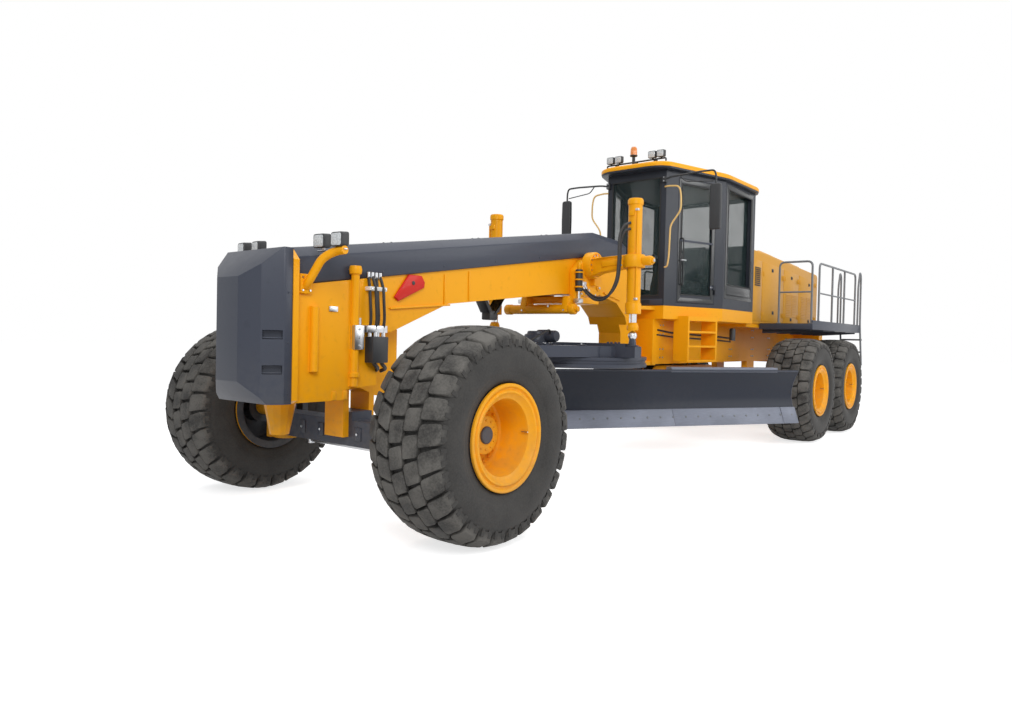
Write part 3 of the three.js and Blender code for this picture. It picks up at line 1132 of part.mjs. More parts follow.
function platform() {
  const z1 = PLATFORM_TOP_Z;
  const z0 = z1 - PLATFORM_THICK;
  const inX = HOOD_HALF + 15;
  const slab = box(inX, PLATFORM_OUT_X, PLATFORM_FRONT_Y, PLATFORM_REAR_Y, z0, z1);
  const bracketTop = Math.max(FRAME_TOP_Z - 10, z0 + 20);
  const bracketBottom = Math.min(z0 - 60, FRAME_TOP_Z - 150);
  const bracket = box(HOOD_HALF + SEAT_GAP, inX + 60, PLATFORM_FRONT_Y, PLATFORM_REAR_Y - 100,
      bracketBottom, bracketTop);
  const outX = PLATFORM_OUT_X - 40;
  const frontLoop = railLoop([[1280, PLATFORM_FRONT_Y + 40, z1 - 20],
      [1280, PLATFORM_FRONT_Y + 40, RAIL_TOP_Z - RAIL_BEND],
          [1280 + RAIL_BEND, PLATFORM_FRONT_Y + 40, RAIL_TOP_Z],
    [outX - RAIL_BEND, PLATFORM_FRONT_Y + 40, RAIL_TOP_Z],
        [outX, PLATFORM_FRONT_Y + 40, RAIL_TOP_Z - RAIL_BEND],
        [outX, PLATFORM_FRONT_Y + 40, z1 - 20]]);
  const sideStart = PLATFORM_FRONT_Y + 500;
  const sideEnd = PLATFORM_REAR_Y - 350;
  const sideLoop = railLoop([[outX, sideStart, z1 - 20], [outX, sideStart, RAIL_TOP_Z - RAIL_BEND],
      [outX, sideStart + RAIL_BEND, RAIL_TOP_Z],
    [outX, sideEnd - RAIL_BEND, RAIL_TOP_Z], [outX, sideEnd, RAIL_TOP_Z - RAIL_BEND],
        [outX, sideEnd, z1 - 20]]);
  const mids = [
    rod([1280, PLATFORM_FRONT_Y + 40, MID_RAIL_Z], [outX, PLATFORM_FRONT_Y + 40, MID_RAIL_Z], 18, 6),
    rod([outX, sideStart, MID_RAIL_Z], [outX, sideEnd, MID_RAIL_Z], 18, 6),
  ];
  const ladderX = PLATFORM_OUT_X - 15;
  const ladderY = PLATFORM_REAR_Y - 60;
  const outerRail = railLoop([[ladderX, ladderY, z1 - 40], [ladderX, ladderY - 30, z1 + 1100],
      [ladderX, ladderY - 10, z1 + 1280],
    [ladderX + 40, ladderY + 60, z1 + 1100], [ladderX + 60, ladderY + 120, z1 + 70],
        [ladderX + 60, ladderY + 120, 1350]]);
  const innerX = ladderX - LADDER_WIDTH;
  const innerRail = railLoop([[innerX, ladderY, z1 - 40], [innerX, ladderY - 30, z1 + 1100],
      [innerX, ladderY - 10, z1 + 1280],
    [innerX, ladderY + 60, z1 + 1100], [innerX, ladderY + 120, z1 + 70], [innerX, ladderY + 120, 1350]]);
  const treads = [1380, 1660, 1940].map((z) => box(innerX - 10, ladderX + 70, ladderY + 90, ladderY + 200,
      z, z + 30));
  return join(slab, bracket, frontLoop, sideLoop, ...mids, outerRail, innerRail, ...treads);
}

place('engine_hood', engineHood(), 'yellow');
place('engine_block', engineBlock(), 'slate');
placePair('platform', platform(), 'plastic');

// The origin goes to the middle of the machine's length, and the tyres stand on the ground
machine.position.y = -(NOSE_FRONT_Y + REAR_Y) / 2;
machine.position.z = TYRE_RADIUS * Math.cos(Math.PI / WHEEL_SIDES) - AXLE_Z;

export default machine;
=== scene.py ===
"""Looks of an articulated road grading machine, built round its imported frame."""
import math

import bmesh
import bpy
from mathutils import Matrix, Vector


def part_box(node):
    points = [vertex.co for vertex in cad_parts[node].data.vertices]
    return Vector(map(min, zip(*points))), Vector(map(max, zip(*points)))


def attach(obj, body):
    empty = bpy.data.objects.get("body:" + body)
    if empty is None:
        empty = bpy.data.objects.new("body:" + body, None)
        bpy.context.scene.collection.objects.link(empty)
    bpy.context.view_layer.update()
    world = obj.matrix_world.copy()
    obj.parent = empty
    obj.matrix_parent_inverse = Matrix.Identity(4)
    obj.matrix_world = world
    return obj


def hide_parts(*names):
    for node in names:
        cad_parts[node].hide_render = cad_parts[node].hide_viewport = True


bl_info = {
    "name": "Road grading machine",
    "version": (1, 0, 0),
    "blender": (4, 5, 0),
    "location": "3D View > Sidebar > Grader",
    "description": "Builds the visible pieces, finishes and studio of a road grading machine",
    "category": "Object",
}

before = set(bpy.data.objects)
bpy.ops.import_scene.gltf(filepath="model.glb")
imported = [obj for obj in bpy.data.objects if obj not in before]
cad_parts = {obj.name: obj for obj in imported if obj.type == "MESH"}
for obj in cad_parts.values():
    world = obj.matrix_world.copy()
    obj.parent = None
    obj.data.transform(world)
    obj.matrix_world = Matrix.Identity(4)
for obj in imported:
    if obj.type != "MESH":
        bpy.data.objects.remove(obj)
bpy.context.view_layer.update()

X, Y, Z = Vector((1, 0, 0)), Vector((0, 1, 0)), Vector((0, 0, 1))
SIDES = (("left", 1), ("right", -1))
ROWS = ("front", "mid", "rear")


def middle(node):
    """Middle of a node's box"""
    low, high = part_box(node)
    return (low + high) / 2


AXLE_Y = middle("front_left_tyre").y


CIRCLE_BACK = 4.05  # middle of the turning circle, behind the front axle
LIFT_BACK = 3.80  # the two lift cylinders
NOSE_SIDE = 0.410  # side of the nose block
COVER_START, COVER_FOOT, COVER_RISE = -1.04, 2.611, 0.1515  # top of the beam cover: start, height there, slope


def at(x, back, z):
    """Place x from the centre plane, so far back from the front axle, and z above the ground"""
    return Vector((x, AXLE_Y + back, z))


def route(*places):
    """Places given as (x, back, z)"""
    return [at(*place) for place in places]


def beside(x, *places):
    """Places (back, z) in one upright plane beside the centre plane"""
    return [at(x, back, z) for back, z in places]


def abreast(back, *places):
    """Places (x, z) in one upright plane across the machine"""
    return [at(x, back, z) for x, z in places]


# ---------------------------------------------------------------- sizes and colours a user may change
COLOUR = {"subtype": "COLOR", "size": 3, "min": 0, "max": 1}


class GraderColours(bpy.types.PropertyGroup):
    yellow: bpy.props.FloatVectorProperty(name="Machine yellow", description="Paint of the frames, rims and roof",
        default=(0.90, 0.385, 0.004), **COLOUR)
    hood: bpy.props.FloatVectorProperty(name="Hood yellow", description="Paint of the engine hood",
        default=(0.67, 0.315, 0.022), **COLOUR)
    slate: bpy.props.FloatVectorProperty(name="Slate",
        description="Dark paint of the nose, beam cover, cab and blade", default=(0.052, 0.058, 0.078), **COLOUR)
    edge: bpy.props.FloatVectorProperty(name="Edge steel", description="Bare steel of the cutting edge",
        default=(0.17, 0.185, 0.23), **COLOUR)
    rubber: bpy.props.FloatVectorProperty(name="Rubber", description="Clean rubber of the tyres",
        default=(0.022, 0.021, 0.020), **COLOUR)
    dust: bpy.props.FloatVectorProperty(name="Dust", description="Dry dust on the tread and low panels",
        default=(0.165, 0.156, 0.142), **COLOUR)
    fabric: bpy.props.FloatVectorProperty(name="Seat cloth", description="Woven cloth of the driver's seat",
        default=(0.035, 0.037, 0.045), **COLOUR)


class GraderWheels(bpy.types.PropertyGroup):
    tread_pitches: bpy.props.IntProperty(name="Tread pitches", description="Blocks round the tyre in each row",
        default=28, min=12, max=60)
    block_depth: bpy.props.FloatProperty(name="Block depth", description="Height of a tread block", default=0.048,
        unit="LENGTH")
    rim_bolts: bpy.props.IntProperty(name="Rim bolts", description="Bolts in the ring of each rim", default=20, min=6,
        max=40)
    bolt_circle: bpy.props.FloatProperty(name="Bolt circle", description="Radius of the rim's bolt ring",
        default=0.262, unit="LENGTH")


class GraderBlade(bpy.types.PropertyGroup):
    edge_bolts: bpy.props.IntProperty(name="Edge bolts", description="Bolts along the cutting edge", default=30,
        min=8, max=80)
    ring_teeth: bpy.props.IntProperty(name="Ring teeth", description="Teeth inside the turning circle", default=72,
        min=24, max=120)


class GraderTrim(bpy.types.PropertyGroup):
    rail: bpy.props.FloatProperty(name="Handrail", description="Radius of the handrails", default=0.0205,
        unit="LENGTH")
    tint: bpy.props.FloatProperty(name="Glass tint", description="How much the cab's glass holds back", default=0.30,
        min=0, max=1, subtype="FACTOR")


class GraderStudio(bpy.types.PropertyGroup):
    lens: bpy.props.FloatProperty(name="Lens", description="Focal length of the camera in millimetres", default=25.81,
        min=10, max=200)
    key: bpy.props.FloatProperty(name="Key lamp", description="Power of the large front lamp", default=950,
        unit="POWER")
    top: bpy.props.FloatProperty(name="Top lamp", description="Power of the large overhead lamp", default=900,
        unit="POWER")
    fill: bpy.props.FloatProperty(name="Fill", description="Strength of the even light from all round", default=0.40,
        min=0)
    floor_glow: bpy.props.FloatProperty(name="Floor glow",
        description="Extra light of the floor towards the camera, gloss and glass", default=0.72, min=0)


# ---------------------------------------------------------------- finishes
class Value:
    """A number that a finish works out at each point; sums and products add Math nodes"""

    def __init__(self, finish, socket):
        self.finish = finish
        self.socket = socket

    def math(self, operation, first, second):
        return self.finish.add("ShaderNodeMath", {"operation": operation}, {0: first, 1: second})

    def __add__(self, other):
        return self.math("ADD", self, other)

    def __radd__(self, other):
        return self.math("ADD", other, self)

    def __sub__(self, other):
        return self.math("SUBTRACT", self, other)

    def __rsub__(self, other):
        return self.math("SUBTRACT", other, self)

    def __mul__(self, other):
        return self.math("MULTIPLY", self, other)

    def __rmul__(self, other):
        return self.math("MULTIPLY", other, self)

    def __pow__(self, other):
        return self.math("POWER", self, other)


class Nodes:
    """The node tree of a material or a world, and the one way in which nodes are added to it"""

    def __init__(self, owner):
        owner.use_nodes = True
        self.tree = owner.node_tree

    def add(self, kind, settings=None, inputs=None, output=0):
        """A node of that kind, set up and wired; gives one of its outputs"""
        node = self.tree.nodes.new(kind)
        for key, setting in (settings or {}).items():
            setattr(node, key, setting)
        for key, value in (inputs or {}).items():
            self.plug(node.inputs[key], value)
        return Value(self, node.outputs[output])

    def plug(self, socket, value):
        if isinstance(value, Value):
            self.tree.links.new(value.socket, socket)
        elif socket.type == "RGBA":
            socket.default_value = (*value, 1.0)
        else:
            socket.default_value = value


class Finish(Nodes):
    """A material and the nodes that make it"""

    def __init__(self, name):
        self.material = bpy.data.materials.new(name)
        super().__init__(self.material)
        self.shader = self.tree.nodes["Principled BSDF"]

    def set(self, **values):
        """Sets or wires the shader's own sockets; an underscore stands for a space"""
        for key, value in values.items():
            self.plug(self.shader.inputs[key.replace("_", " ")], value)
        return self.material

    def place(self, scale=(1, 1, 1), turn=(0, 0, 0)):
        spot = self.add("ShaderNodeTexCoord", output="Object")
        return self.add("ShaderNodeMapping", None, {"Vector": spot, "Scale": scale, "Rotation": turn})

    def noise(self, scale, detail=3.0, stretch=(1, 1, 1), distortion=0.0):
        return self.add("ShaderNodeTexNoise", None, {"Vector": self.place(stretch), "Scale": scale, "Detail": detail,
            "Distortion": distortion})

    def wave(self, direction, scale, distortion=0.0, turn=(0, 0, 0)):
        """Parallel bands across one direction"""
        return self.add("ShaderNodeTexWave", {"wave_type": "BANDS", "bands_direction": direction},
            {"Vector": self.place(turn=turn), "Scale": scale, "Distortion": distortion, "Detail": 2.0})

    def height(self):
        """Height above the ground"""
        spot = self.add("ShaderNodeTexCoord", output="Object")
        return self.add("ShaderNodeSeparateXYZ", None, {"Vector": spot}, "Z")

    def ramp(self, value, low, high):
        """0 below low, 1 above high, and a smooth rise between; low may be above high"""
        rising = self.add("ShaderNodeMapRange", {"interpolation_type": "SMOOTHSTEP"},
            {"Value": value, "From Min": min(low, high), "From Max": max(low, high)})
        return rising if high > low else 1.0 - rising

    def mix(self, factor, first, second):
        return self.add("ShaderNodeMix", {"data_type": "RGBA"}, {0: factor, 6: first, 7: second}, 2)

    def bump(self, height, distance, strength=1.0, over=None):
        inputs = {"Height": height, "Distance": distance, "Strength": strength}
        if over:
            inputs["Normal"] = over
        return self.add("ShaderNodeBump", None, inputs)

    def soft_edges(self, radius):
        return self.add("ShaderNodeBevel", {"samples": 4}, {"Radius": radius})


def paints():
    """Colours that a user may change"""
    return bpy.context.scene.grader_colours


def tinted(colour, share):
    """A lighter (share above 1) or darker colour"""
    return tuple(min(1.0, c * share) for c in colour)


def make_paint(name, colour, roughness=0.34, coat=0.35, dusty=0.5, flat=0.0):
    """Machine paint: faint orange peel, uneven gloss, soft edges and dust low down"""
    paint = Finish(name)
    cloud = paint.noise(0.9, 4)
    speck = paint.noise(14, 5)
    fine = paint.noise(230, 2)
    low = paint.ramp(paint.height(), 1.9, 0.35)
    dust = low * paint.ramp(cloud * 0.6 + speck * 0.5, 0.42, 0.72) * dusty
    grime = paint.ramp(speck, 0.58, 0.74) * 0.16
    body = paint.mix(cloud * 0.5, tinted(colour, 1.06), tinted(colour, 0.86))
    body = paint.mix(grime, body, tinted(colour, 0.55))
    body = paint.mix(dust, body, paints().dust)
    soft = paint.soft_edges(0.007)
    return paint.set(Base_Color=body, Roughness=roughness + speck * 0.10 + dust * 0.35, Metallic=flat,
        Specular_IOR_Level=0.17, Coat_Weight=(1.0 - dust) * (coat * 0.35), Coat_Roughness=0.12,
        Normal=paint.bump(fine, 0.0006, 0.35, soft))


def make_slate(name):
    return make_paint(name, paints().slate, 0.34, 0.28, 0.45)


def make_tyre(name):
    """Rubber with dry dust on the block tops and a plain dark sidewall"""
    tyre = Finish(name)
    top = tyre.add("ShaderNodeAttribute", {"attribute_name": "dust"}, None, "Fac")
    patch = tyre.noise(5, 5)
    grain = tyre.noise(60, 4)
    coarse = tyre.noise(24, 3)
    dust = tyre.ramp(patch * 0.75 + grain * 0.25, 0.30, 0.66) * (top * 0.72 + 0.10)
    body = tyre.mix(grain, paints().rubber, tinted(paints().rubber, 1.9))
    body = tyre.mix(dust, body, paints().dust)
    return tyre.set(Base_Color=body, Roughness=0.62 + dust * 0.3, Specular_IOR_Level=0.22,
        Normal=tyre.bump(grain * 0.6 + coarse * 0.4, 0.003, 0.6))


def make_edge(name):
    """Bare rolled steel, brushed along the blade by the ground it has cut"""
    steel = Finish(name)
    streak = steel.noise(9, 5, (1, 1, 14))
    patch = steel.noise(2.2, 5)
    mill = steel.ramp(patch, 0.40, 0.66)
    body = steel.mix(streak, tinted(paints().edge, 0.72), tinted(paints().edge, 1.25))
    body = steel.mix(mill * 0.35, body, tinted(paints().edge, 0.5))
    return steel.set(Base_Color=body, Metallic=0.35, Roughness=0.42 + streak * 0.22,
        Normal=steel.bump(streak, 0.001, 0.5, steel.soft_edges(0.004)))


def make_steel(name, colour=(0.55, 0.56, 0.58), roughness=0.26):
    """Plated or polished metal with fine lines"""
    steel = Finish(name)
    line = steel.noise(40, 3, (1, 1, 6))
    patch = steel.noise(6, 4)
    return steel.set(Base_Color=steel.mix(patch, tinted(colour, 0.85), tinted(colour, 1.1)), Metallic=1.0,
        Roughness=roughness + line * 0.12, Normal=steel.bump(line, 0.0004, 0.3))


def make_chrome(name):
    return make_steel(name, (0.78, 0.79, 0.81), 0.08)


def make_plastic(name, colour=(0.018, 0.019, 0.021), roughness=0.45):
    """Moulded plastic or rubber with a fine grain"""
    plastic = Finish(name)
    grain = plastic.noise(320, 2)
    patch = plastic.noise(5, 3)
    return plastic.set(Base_Color=plastic.mix(patch, tinted(colour, 0.8), tinted(colour, 1.5)),
        Roughness=roughness + patch * 0.15, Normal=plastic.bump(grain, 0.0006, 0.5, plastic.soft_edges(0.003)))


def make_hose(name):
    """Hydraulic hose with a wrapped cover"""
    hose = Finish(name)
    wrap = hose.wave("DIAGONAL", 70.0, 0.5)
    patch = hose.noise(8, 3)
    return hose.set(Base_Color=hose.mix(patch, (0.010, 0.010, 0.011), (0.028, 0.027, 0.026)),
        Roughness=0.42 + patch * 0.2, Normal=hose.bump(wrap, 0.0008, 0.5))


def make_glass(name):
    """Tinted cab glass, with patches of a dusty film on the pane"""
    glass = Finish(name)
    tint = bpy.context.scene.grader_trim.tint
    film = glass.ramp(glass.noise(3, 4), 0.45, 0.75)
    return glass.set(Base_Color=glass.mix(film, (0.030, 0.050, 0.050), (0.060, 0.085, 0.082)),
        Roughness=0.03 + film * 0.05, Alpha=tint + film * 0.08, Specular_IOR_Level=0.14)


def make_lens(name, colour=(0.72, 0.75, 0.76), glow=0.0):
    """Ribbed lamp lens"""
    lens = Finish(name)
    ribs = lens.wave("X", 28.0)
    cell = lens.add("ShaderNodeTexVoronoi", None, {"Vector": lens.place(), "Scale": 55.0})
    return lens.set(Base_Color=lens.mix(cell, colour, tinted(colour, 0.55)), Roughness=0.10 + ribs * 0.08,
        Coat_Weight=0.8, Coat_Roughness=0.04, Emission_Color=colour, Emission_Strength=glow,
        Normal=lens.bump(ribs + cell, 0.002, 0.5))


def make_grip(name):
    """Dark deck plate with raised bars crossing both ways"""
    plate = Finish(name)
    across = (0, 0, math.radians(45))
    worn = plate.noise(7, 4)
    bars = plate.ramp(plate.wave("X", 14.0, turn=across) * plate.wave("Y", 14.0, turn=across), 0.35, 0.75)
    body = plate.mix(bars * 0.6, (0.026, 0.028, 0.033), (0.10, 0.105, 0.115))
    return plate.set(Base_Color=body, Metallic=0.3, Roughness=0.42 + worn * 0.2, Normal=plate.bump(bars, 0.004, 0.9))


def make_cloth(name):
    """Woven seat cloth: two crossing threads and a soft sheen"""
    cloth = Finish(name)
    weave = cloth.wave("X", 210.0, 0.6) * 0.5 + cloth.wave("Y", 210.0, 0.6) * 0.5
    fuzz = cloth.noise(30, 4)
    body = cloth.mix(weave * 0.5 + fuzz * 0.4, tinted(paints().fabric, 0.7), tinted(paints().fabric, 2.2))
    return cloth.set(Base_Color=body, Roughness=0.9, Sheen_Weight=0.35, Sheen_Roughness=0.5,
        Normal=cloth.bump(weave, 0.0012, 0.7))


FINISHES = {
    "yellow": ("machine_yellow", lambda n: make_paint(n, paints().yellow, 0.36, 0.16, 0.24)),
    "hood": ("hood_yellow", lambda n: make_paint(n, paints().hood, 0.38, 0.3)),
    "slate": ("slate_enamel", make_slate),
    # A darker copy of the slate for the curved blade plate: painted shade of its hollow face
    "blade": ("blade_slate", lambda n: make_paint(n, (0.022, 0.026, 0.038), 0.42, 0.12, 0.06)),
    "cab": ("cab_slate", lambda n: make_paint(n, (0.030, 0.034, 0.044), 0.36, 0.3, 0.3)),
    "tyre": ("dusty_rubber", make_tyre),
    "edge": ("rolled_edge_steel", make_edge),
    "steel": ("plated_steel", make_steel),
    "chrome": ("hard_chrome", make_chrome),
    "plastic": ("moulded_black", make_plastic),
    "seal": ("rubber_seal", lambda n: make_plastic(n, (0.010, 0.010, 0.010), 0.6)),
    "frit": ("glass_border", lambda n: make_plastic(n, (0.011, 0.013, 0.015), 0.14)),
    "grey": ("grey_moulding", lambda n: make_plastic(n, (0.11, 0.115, 0.12), 0.5)),
    "rail": ("rail_grey", lambda n: make_paint(n, (0.20, 0.205, 0.215), 0.4, 0.2, 0.2)),
    "pale": ("pale_handrail", lambda n: make_paint(n, (0.84, 0.55, 0.20), 0.4, 0.2, 0.1)),
    "hose": ("hose_cover", make_hose),
    "glass": ("tinted_glass", make_glass),
    "lens": ("lamp_lens", make_lens),
    "red": ("red_reflector", lambda n: make_paint(n, (0.62, 0.020, 0.012), 0.4, 0.4, 0.1)),
    "amber": ("amber_dome", lambda n: make_lens(n, (0.85, 0.26, 0.02), 0.15)),
    "grip": ("grip_plate", make_grip),
    "cloth": ("seat_cloth", make_cloth),
    "white": ("white_clamp", lambda n: make_plastic(n, (0.62, 0.62, 0.60), 0.45)),
    "mirror": ("mirror_face", lambda n: make_steel(n, (0.72, 0.76, 0.80), 0.03)),
}


def finish(key):
    name, make = FINISHES[key]
    return bpy.data.materials.get(name) or make(name)


# ---------------------------------------------------------------- shapes
def soften(part, width, segments=2, least=0.35):
    """Rounds the edges of a shape that turn by more than the least angle"""
    if width <= 0:
        return
    edges = [e for e in part.edges if len(e.link_faces) == 2 and e.calc_face_angle(0) > least]
    bmesh.ops.bevel(part, geom=edges, offset=width, offset_type="OFFSET", segments=segments, profile=0.5,
        affect="EDGES", clamp_overlap=True, material=-1)


def flat_face(part, spot, facing):
    """Face that looks that way and has its middle nearest to the spot"""
    faces = [f for f in part.faces if f.normal.dot(facing) > 0.98]
    return min(faces, key=lambda f: (f.calc_center_median() - spot).length)


def opening(part, spot, facing, across, half_width, half_height):
    """Cuts a rectangle into the flat face at the spot and gives the new face"""
    facing = facing.normalized()
    across = across.normalized()
    up = facing.cross(across)
    for direction, half in ((across, half_width), (up, half_height)):
        for end in (-1, 1):
            part.faces.ensure_lookup_table()
            faces = [f for f in part.faces if f.normal.dot(facing) > 0.98 and abs((f.calc_center_median()
                - spot).dot(facing)) < 0.004]
            edges = {e for f in faces for e in f.edges}
            verts = {v for f in faces for v in f.verts}
            bmesh.ops.bisect_plane(part, geom=[*faces, *edges, *verts], dist=1e-5,
                plane_co=spot + direction * half * end, plane_no=direction)
            part.normal_update()
    return flat_face(part, spot, facing)


def rounded(points, radius, steps=5):
    """The same route with each corner turned along a curve"""
    route = [points[0]]
    for before, corner, after in zip(points, points[1:], points[2:]):
        into, away = (corner - before), (after - corner)
        reach = min(radius, into.length * 0.48, away.length * 0.48)
        start, end = corner - into.normalized() * reach, corner + away.normalized() * reach
        for i in range(steps + 1):
            t = i / steps
            route.append(start * (1 - t) ** 2 + corner * 2 * t * (1 - t) + end * t ** 2)
    return [*route, points[-1]]


class Shape:
    """One mesh, grown from simple shapes that each have their own finish"""

    def __init__(self, name):
        self.name = name
        self.whole = bmesh.new()
        self.finishes = []

    def take(self, part, key):
        """Adds a finished part and frees it"""
        if key not in self.finishes:
            self.finishes.append(key)
        bmesh.ops.recalc_face_normals(part, faces=part.faces[:])
        for face in part.faces:
            face.material_index = self.finishes.index(key)
            face.smooth = True
        holder = bpy.data.meshes.new("holder")
        part.to_mesh(holder)
        part.free()
        self.whole.from_mesh(holder)
        bpy.data.meshes.remove(holder)

    def block(self, low, high, key, soft=0.006, segments=2, turn=None):
        low, high = Vector(low), Vector(high)
        part = bmesh.new()
        bmesh.ops.create_cube(part, size=1.0)
        size = Vector(max(abs(a - b), 1e-4) for a, b in zip(low, high))
        bmesh.ops.scale(part, vec=size, verts=part.verts)
        soften(part, min(soft, min(size) * 0.45), segments)
        if turn:
            bmesh.ops.rotate(part, cent=(0, 0, 0), matrix=turn, verts=part.verts)
        bmesh.ops.translate(part, vec=(low + high) / 2, verts=part.verts)
        self.take(part, key)

    def slab(self, points, rise, key, soft=0.006, segments=2):
        """Outline pushed along rise"""
        part = bmesh.new()
        face = part.faces.new([part.verts.new(p) for p in points])
        pushed = bmesh.ops.extrude_face_region(part, geom=[face])
        top = [v for v in pushed["geom"] if isinstance(v, bmesh.types.BMVert)]
        bmesh.ops.translate(part, vec=rise, verts=top)
        bmesh.ops.recalc_face_normals(part, faces=part.faces[:])
        soften(part, soft, segments)
        self.take(part, key)

    def loft(self, rings, key):
        """Skin over rings of equally many points, closed at both ends"""
        part = bmesh.new()
        rows = [[part.verts.new(p) for p in ring] for ring in rings]
        for low, high in zip(rows, rows[1:]):
            for i, corner in enumerate(low):
                j = (i + 1) % len(low)
                part.faces.new((corner, low[j], high[j], high[i]))
        part.faces.new(rows[0][::-1])
        part.faces.new(rows[-1])
        self.take(part, key)

    def rod(self, start, end, radius, key, end_radius=None, sides=24, soft=0.0):
        start, end = Vector(start), Vector(end)
        along = end - start
        turn = along.to_track_quat("Z", "Y").to_matrix().to_4x4()
        part = bmesh.new()
        bmesh.ops.create_cone(part, cap_ends=True, cap_tris=False, segments=sides, radius1=radius,
            radius2=radius if end_radius is None else end_radius, depth=along.length,
            matrix=Matrix.Translation((start + end) / 2) @ turn)
        soften(part, soft, 2, 0.9)
        self.take(part, key)

    def turned(self, profile, centre, axis, key, steps=48):
        """Outline of (radius, along) turned about an axis"""
        axis = Vector(axis).normalized()
        out = axis.orthogonal().normalized()
        part = bmesh.new()
        closed = profile[0] == profile[-1]
        points = profile[:-1] if closed else profile
        verts = [part.verts.new(Vector(centre) + out * r + axis * h) for r, h in points]
        edges = [part.edges.new(pair) for pair in zip(verts, verts[1:])]
        if closed:
            edges.append(part.edges.new((verts[-1], verts[0])))
        bmesh.ops.spin(part, geom=[*verts, *edges], cent=centre, axis=axis, dvec=(0, 0, 0), angle=2 * math.pi,
            steps=steps, use_merge=True, use_duplicate=False)
        bmesh.ops.remove_doubles(part, verts=part.verts, dist=1e-5)
        self.take(part, key)

    def pipe(self, points, radius, key, bend=0.08, sides=2):
        """Round bar or hose along a route with curved corners"""
        course = rounded([Vector(p) for p in points], bend) if bend else [Vector(p) for p in points]
        line = bpy.data.curves.new("route", "CURVE")
        line.dimensions = "3D"
        line.bevel_depth = radius
        line.bevel_resolution = sides
        line.use_fill_caps = True
        spline = line.splines.new("POLY")
        spline.points.add(len(course) - 1)
        for point, place in zip(spline.points, course):
            point.co = (*place, 1)
        holder = bpy.data.objects.new("route", line)
        mesh = bpy.data.meshes.new_from_object(holder)
        part = bmesh.new()
        part.from_mesh(mesh)
        bpy.data.objects.remove(holder)
        bpy.data.curves.remove(line)
        bpy.data.meshes.remove(mesh)
        bmesh.ops.remove_doubles(part, verts=part.verts, dist=1e-6)
        self.take(part, key)

    def hose(self, points, radius, key="hose", steps=8):
        """Hose through the points in one smooth curve"""
        points = [Vector(p) for p in points]
        padded = [points[0] * 2 - points[1], *points, points[-1] * 2 - points[-2]]
        route = []
        for a, b, c, d in zip(padded, padded[1:], padded[2:], padded[3:]):
            for i in range(steps):
                t = i / steps
                route.append((b * 2 + (c - a) * t + (a * 2 - b * 5 + c * 4 - d) * t ** 2 + (b * 3 - a - c * 3 + d)
                    * t ** 3) / 2)
        self.pipe([*route, points[-1]], radius, key, 0)

    def bolts(self, places, axis, radius, height, key="steel"):
        """Hexagon heads standing along the axis from each place"""
        axis = Vector(axis).normalized()
        for place in places:
            self.rod(Vector(place) - axis * 0.002, Vector(place) + axis * height, radius, key, radius * 0.94, 6)

    def copy(self, node, key, soft=0.0, segments=2):
        """A merged copy of a CAD node, its flat faces joined up and its edges rounded"""
        part = bmesh.new()
        part.from_mesh(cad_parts[node].data)
        bmesh.ops.remove_doubles(part, verts=part.verts, dist=1e-5)
        bmesh.ops.dissolve_limit(part, angle_limit=0.01, verts=part.verts, edges=part.edges)
        soften(part, soft, segments)
        self.take(part, key)

    def mirrored(self):
        """Adds the other side's half of everything so far"""
        bmesh.ops.mirror(self.whole, geom=[*self.whole.verts, *self.whole.edges, *self.whole.faces], axis="X",
            merge_dist=-1.0)
        bmesh.ops.recalc_face_normals(self.whole, faces=self.whole.faces[:])

    def done(self, body, slot, *nodes, angle=38):
        """Makes the object and hands it to a body; the slot is not used"""
        mesh = bpy.data.meshes.new(self.name)
        self.whole.to_mesh(mesh)
        self.whole.free()
        for key in self.finishes:
            mesh.materials.append(finish(key))
        mesh.set_sharp_from_angle(angle=math.radians(angle))
        return hand_over(bpy.data.objects.new(self.name, mesh), body, nodes)


def hand_over(made, body, nodes):
    """Links a made object, puts it under its body's empty and hides the nodes it replaces"""
    bpy.context.scene.collection.objects.link(made)
    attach(made, body)
    if nodes:
        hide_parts(*nodes)
    return made


def flipped(made, name, body, slot, *nodes):
    """The same piece on the machine's other side"""
    mesh = made.data.copy()
    part = bmesh.new()
    part.from_mesh(mesh)
    bmesh.ops.scale(part, vec=(-1, 1, 1), verts=part.verts)
    bmesh.ops.reverse_faces(part, faces=part.faces)
    part.to_mesh(mesh)
    part.free()
    mesh.name = name
    return hand_over(bpy.data.objects.new(name, mesh), body, nodes)


def ring_about(centre, axis, radius, count, start=0.0):
    """Places evenly round a circle about X or Z"""
    turns = [start + math.tau * i / count for i in range(count)]
    if axis is Z:
        return [centre + Vector((radius * math.cos(a), radius * math.sin(a), 0)) for a in turns]
    return [centre + Vector((0, radius * math.sin(a), radius * math.cos(a))) for a in turns]


# ---------------------------------------------------------------- wheels
TREAD_ROWS = ((-0.321, 0.166, 0.5, -0.30), (-0.159, 0.156, 0.0, -0.30), (0.0, 0.156, 0.5, 0.22),
              (0.159, 0.156, 0.0, 0.30), (0.321, 0.166, 0.5, 0.30))  # across, width, shift, skew
TREAD_TOP = 0.9712


def tread_radius(across):
    """Radius of the tread's top at a distance from the tyre's middle plane"""
    share = abs(across) / 0.4
    return TREAD_TOP - 0.075 * share ** 4 - 0.01 * share ** 2


CARCASS = ((0.924, 0.0), (0.921, 0.12), (0.914, 0.22), (0.896, 0.30), (0.862, 0.352), (0.820, 0.388), (0.765, 0.409),
    (0.700, 0.4140), (0.630, 0.409), (0.585, 0.398), (0.580, 0.394), (0.560, 0.386), (0.515, 0.371), (0.482, 0.356),
    (0.4755, 0.345))


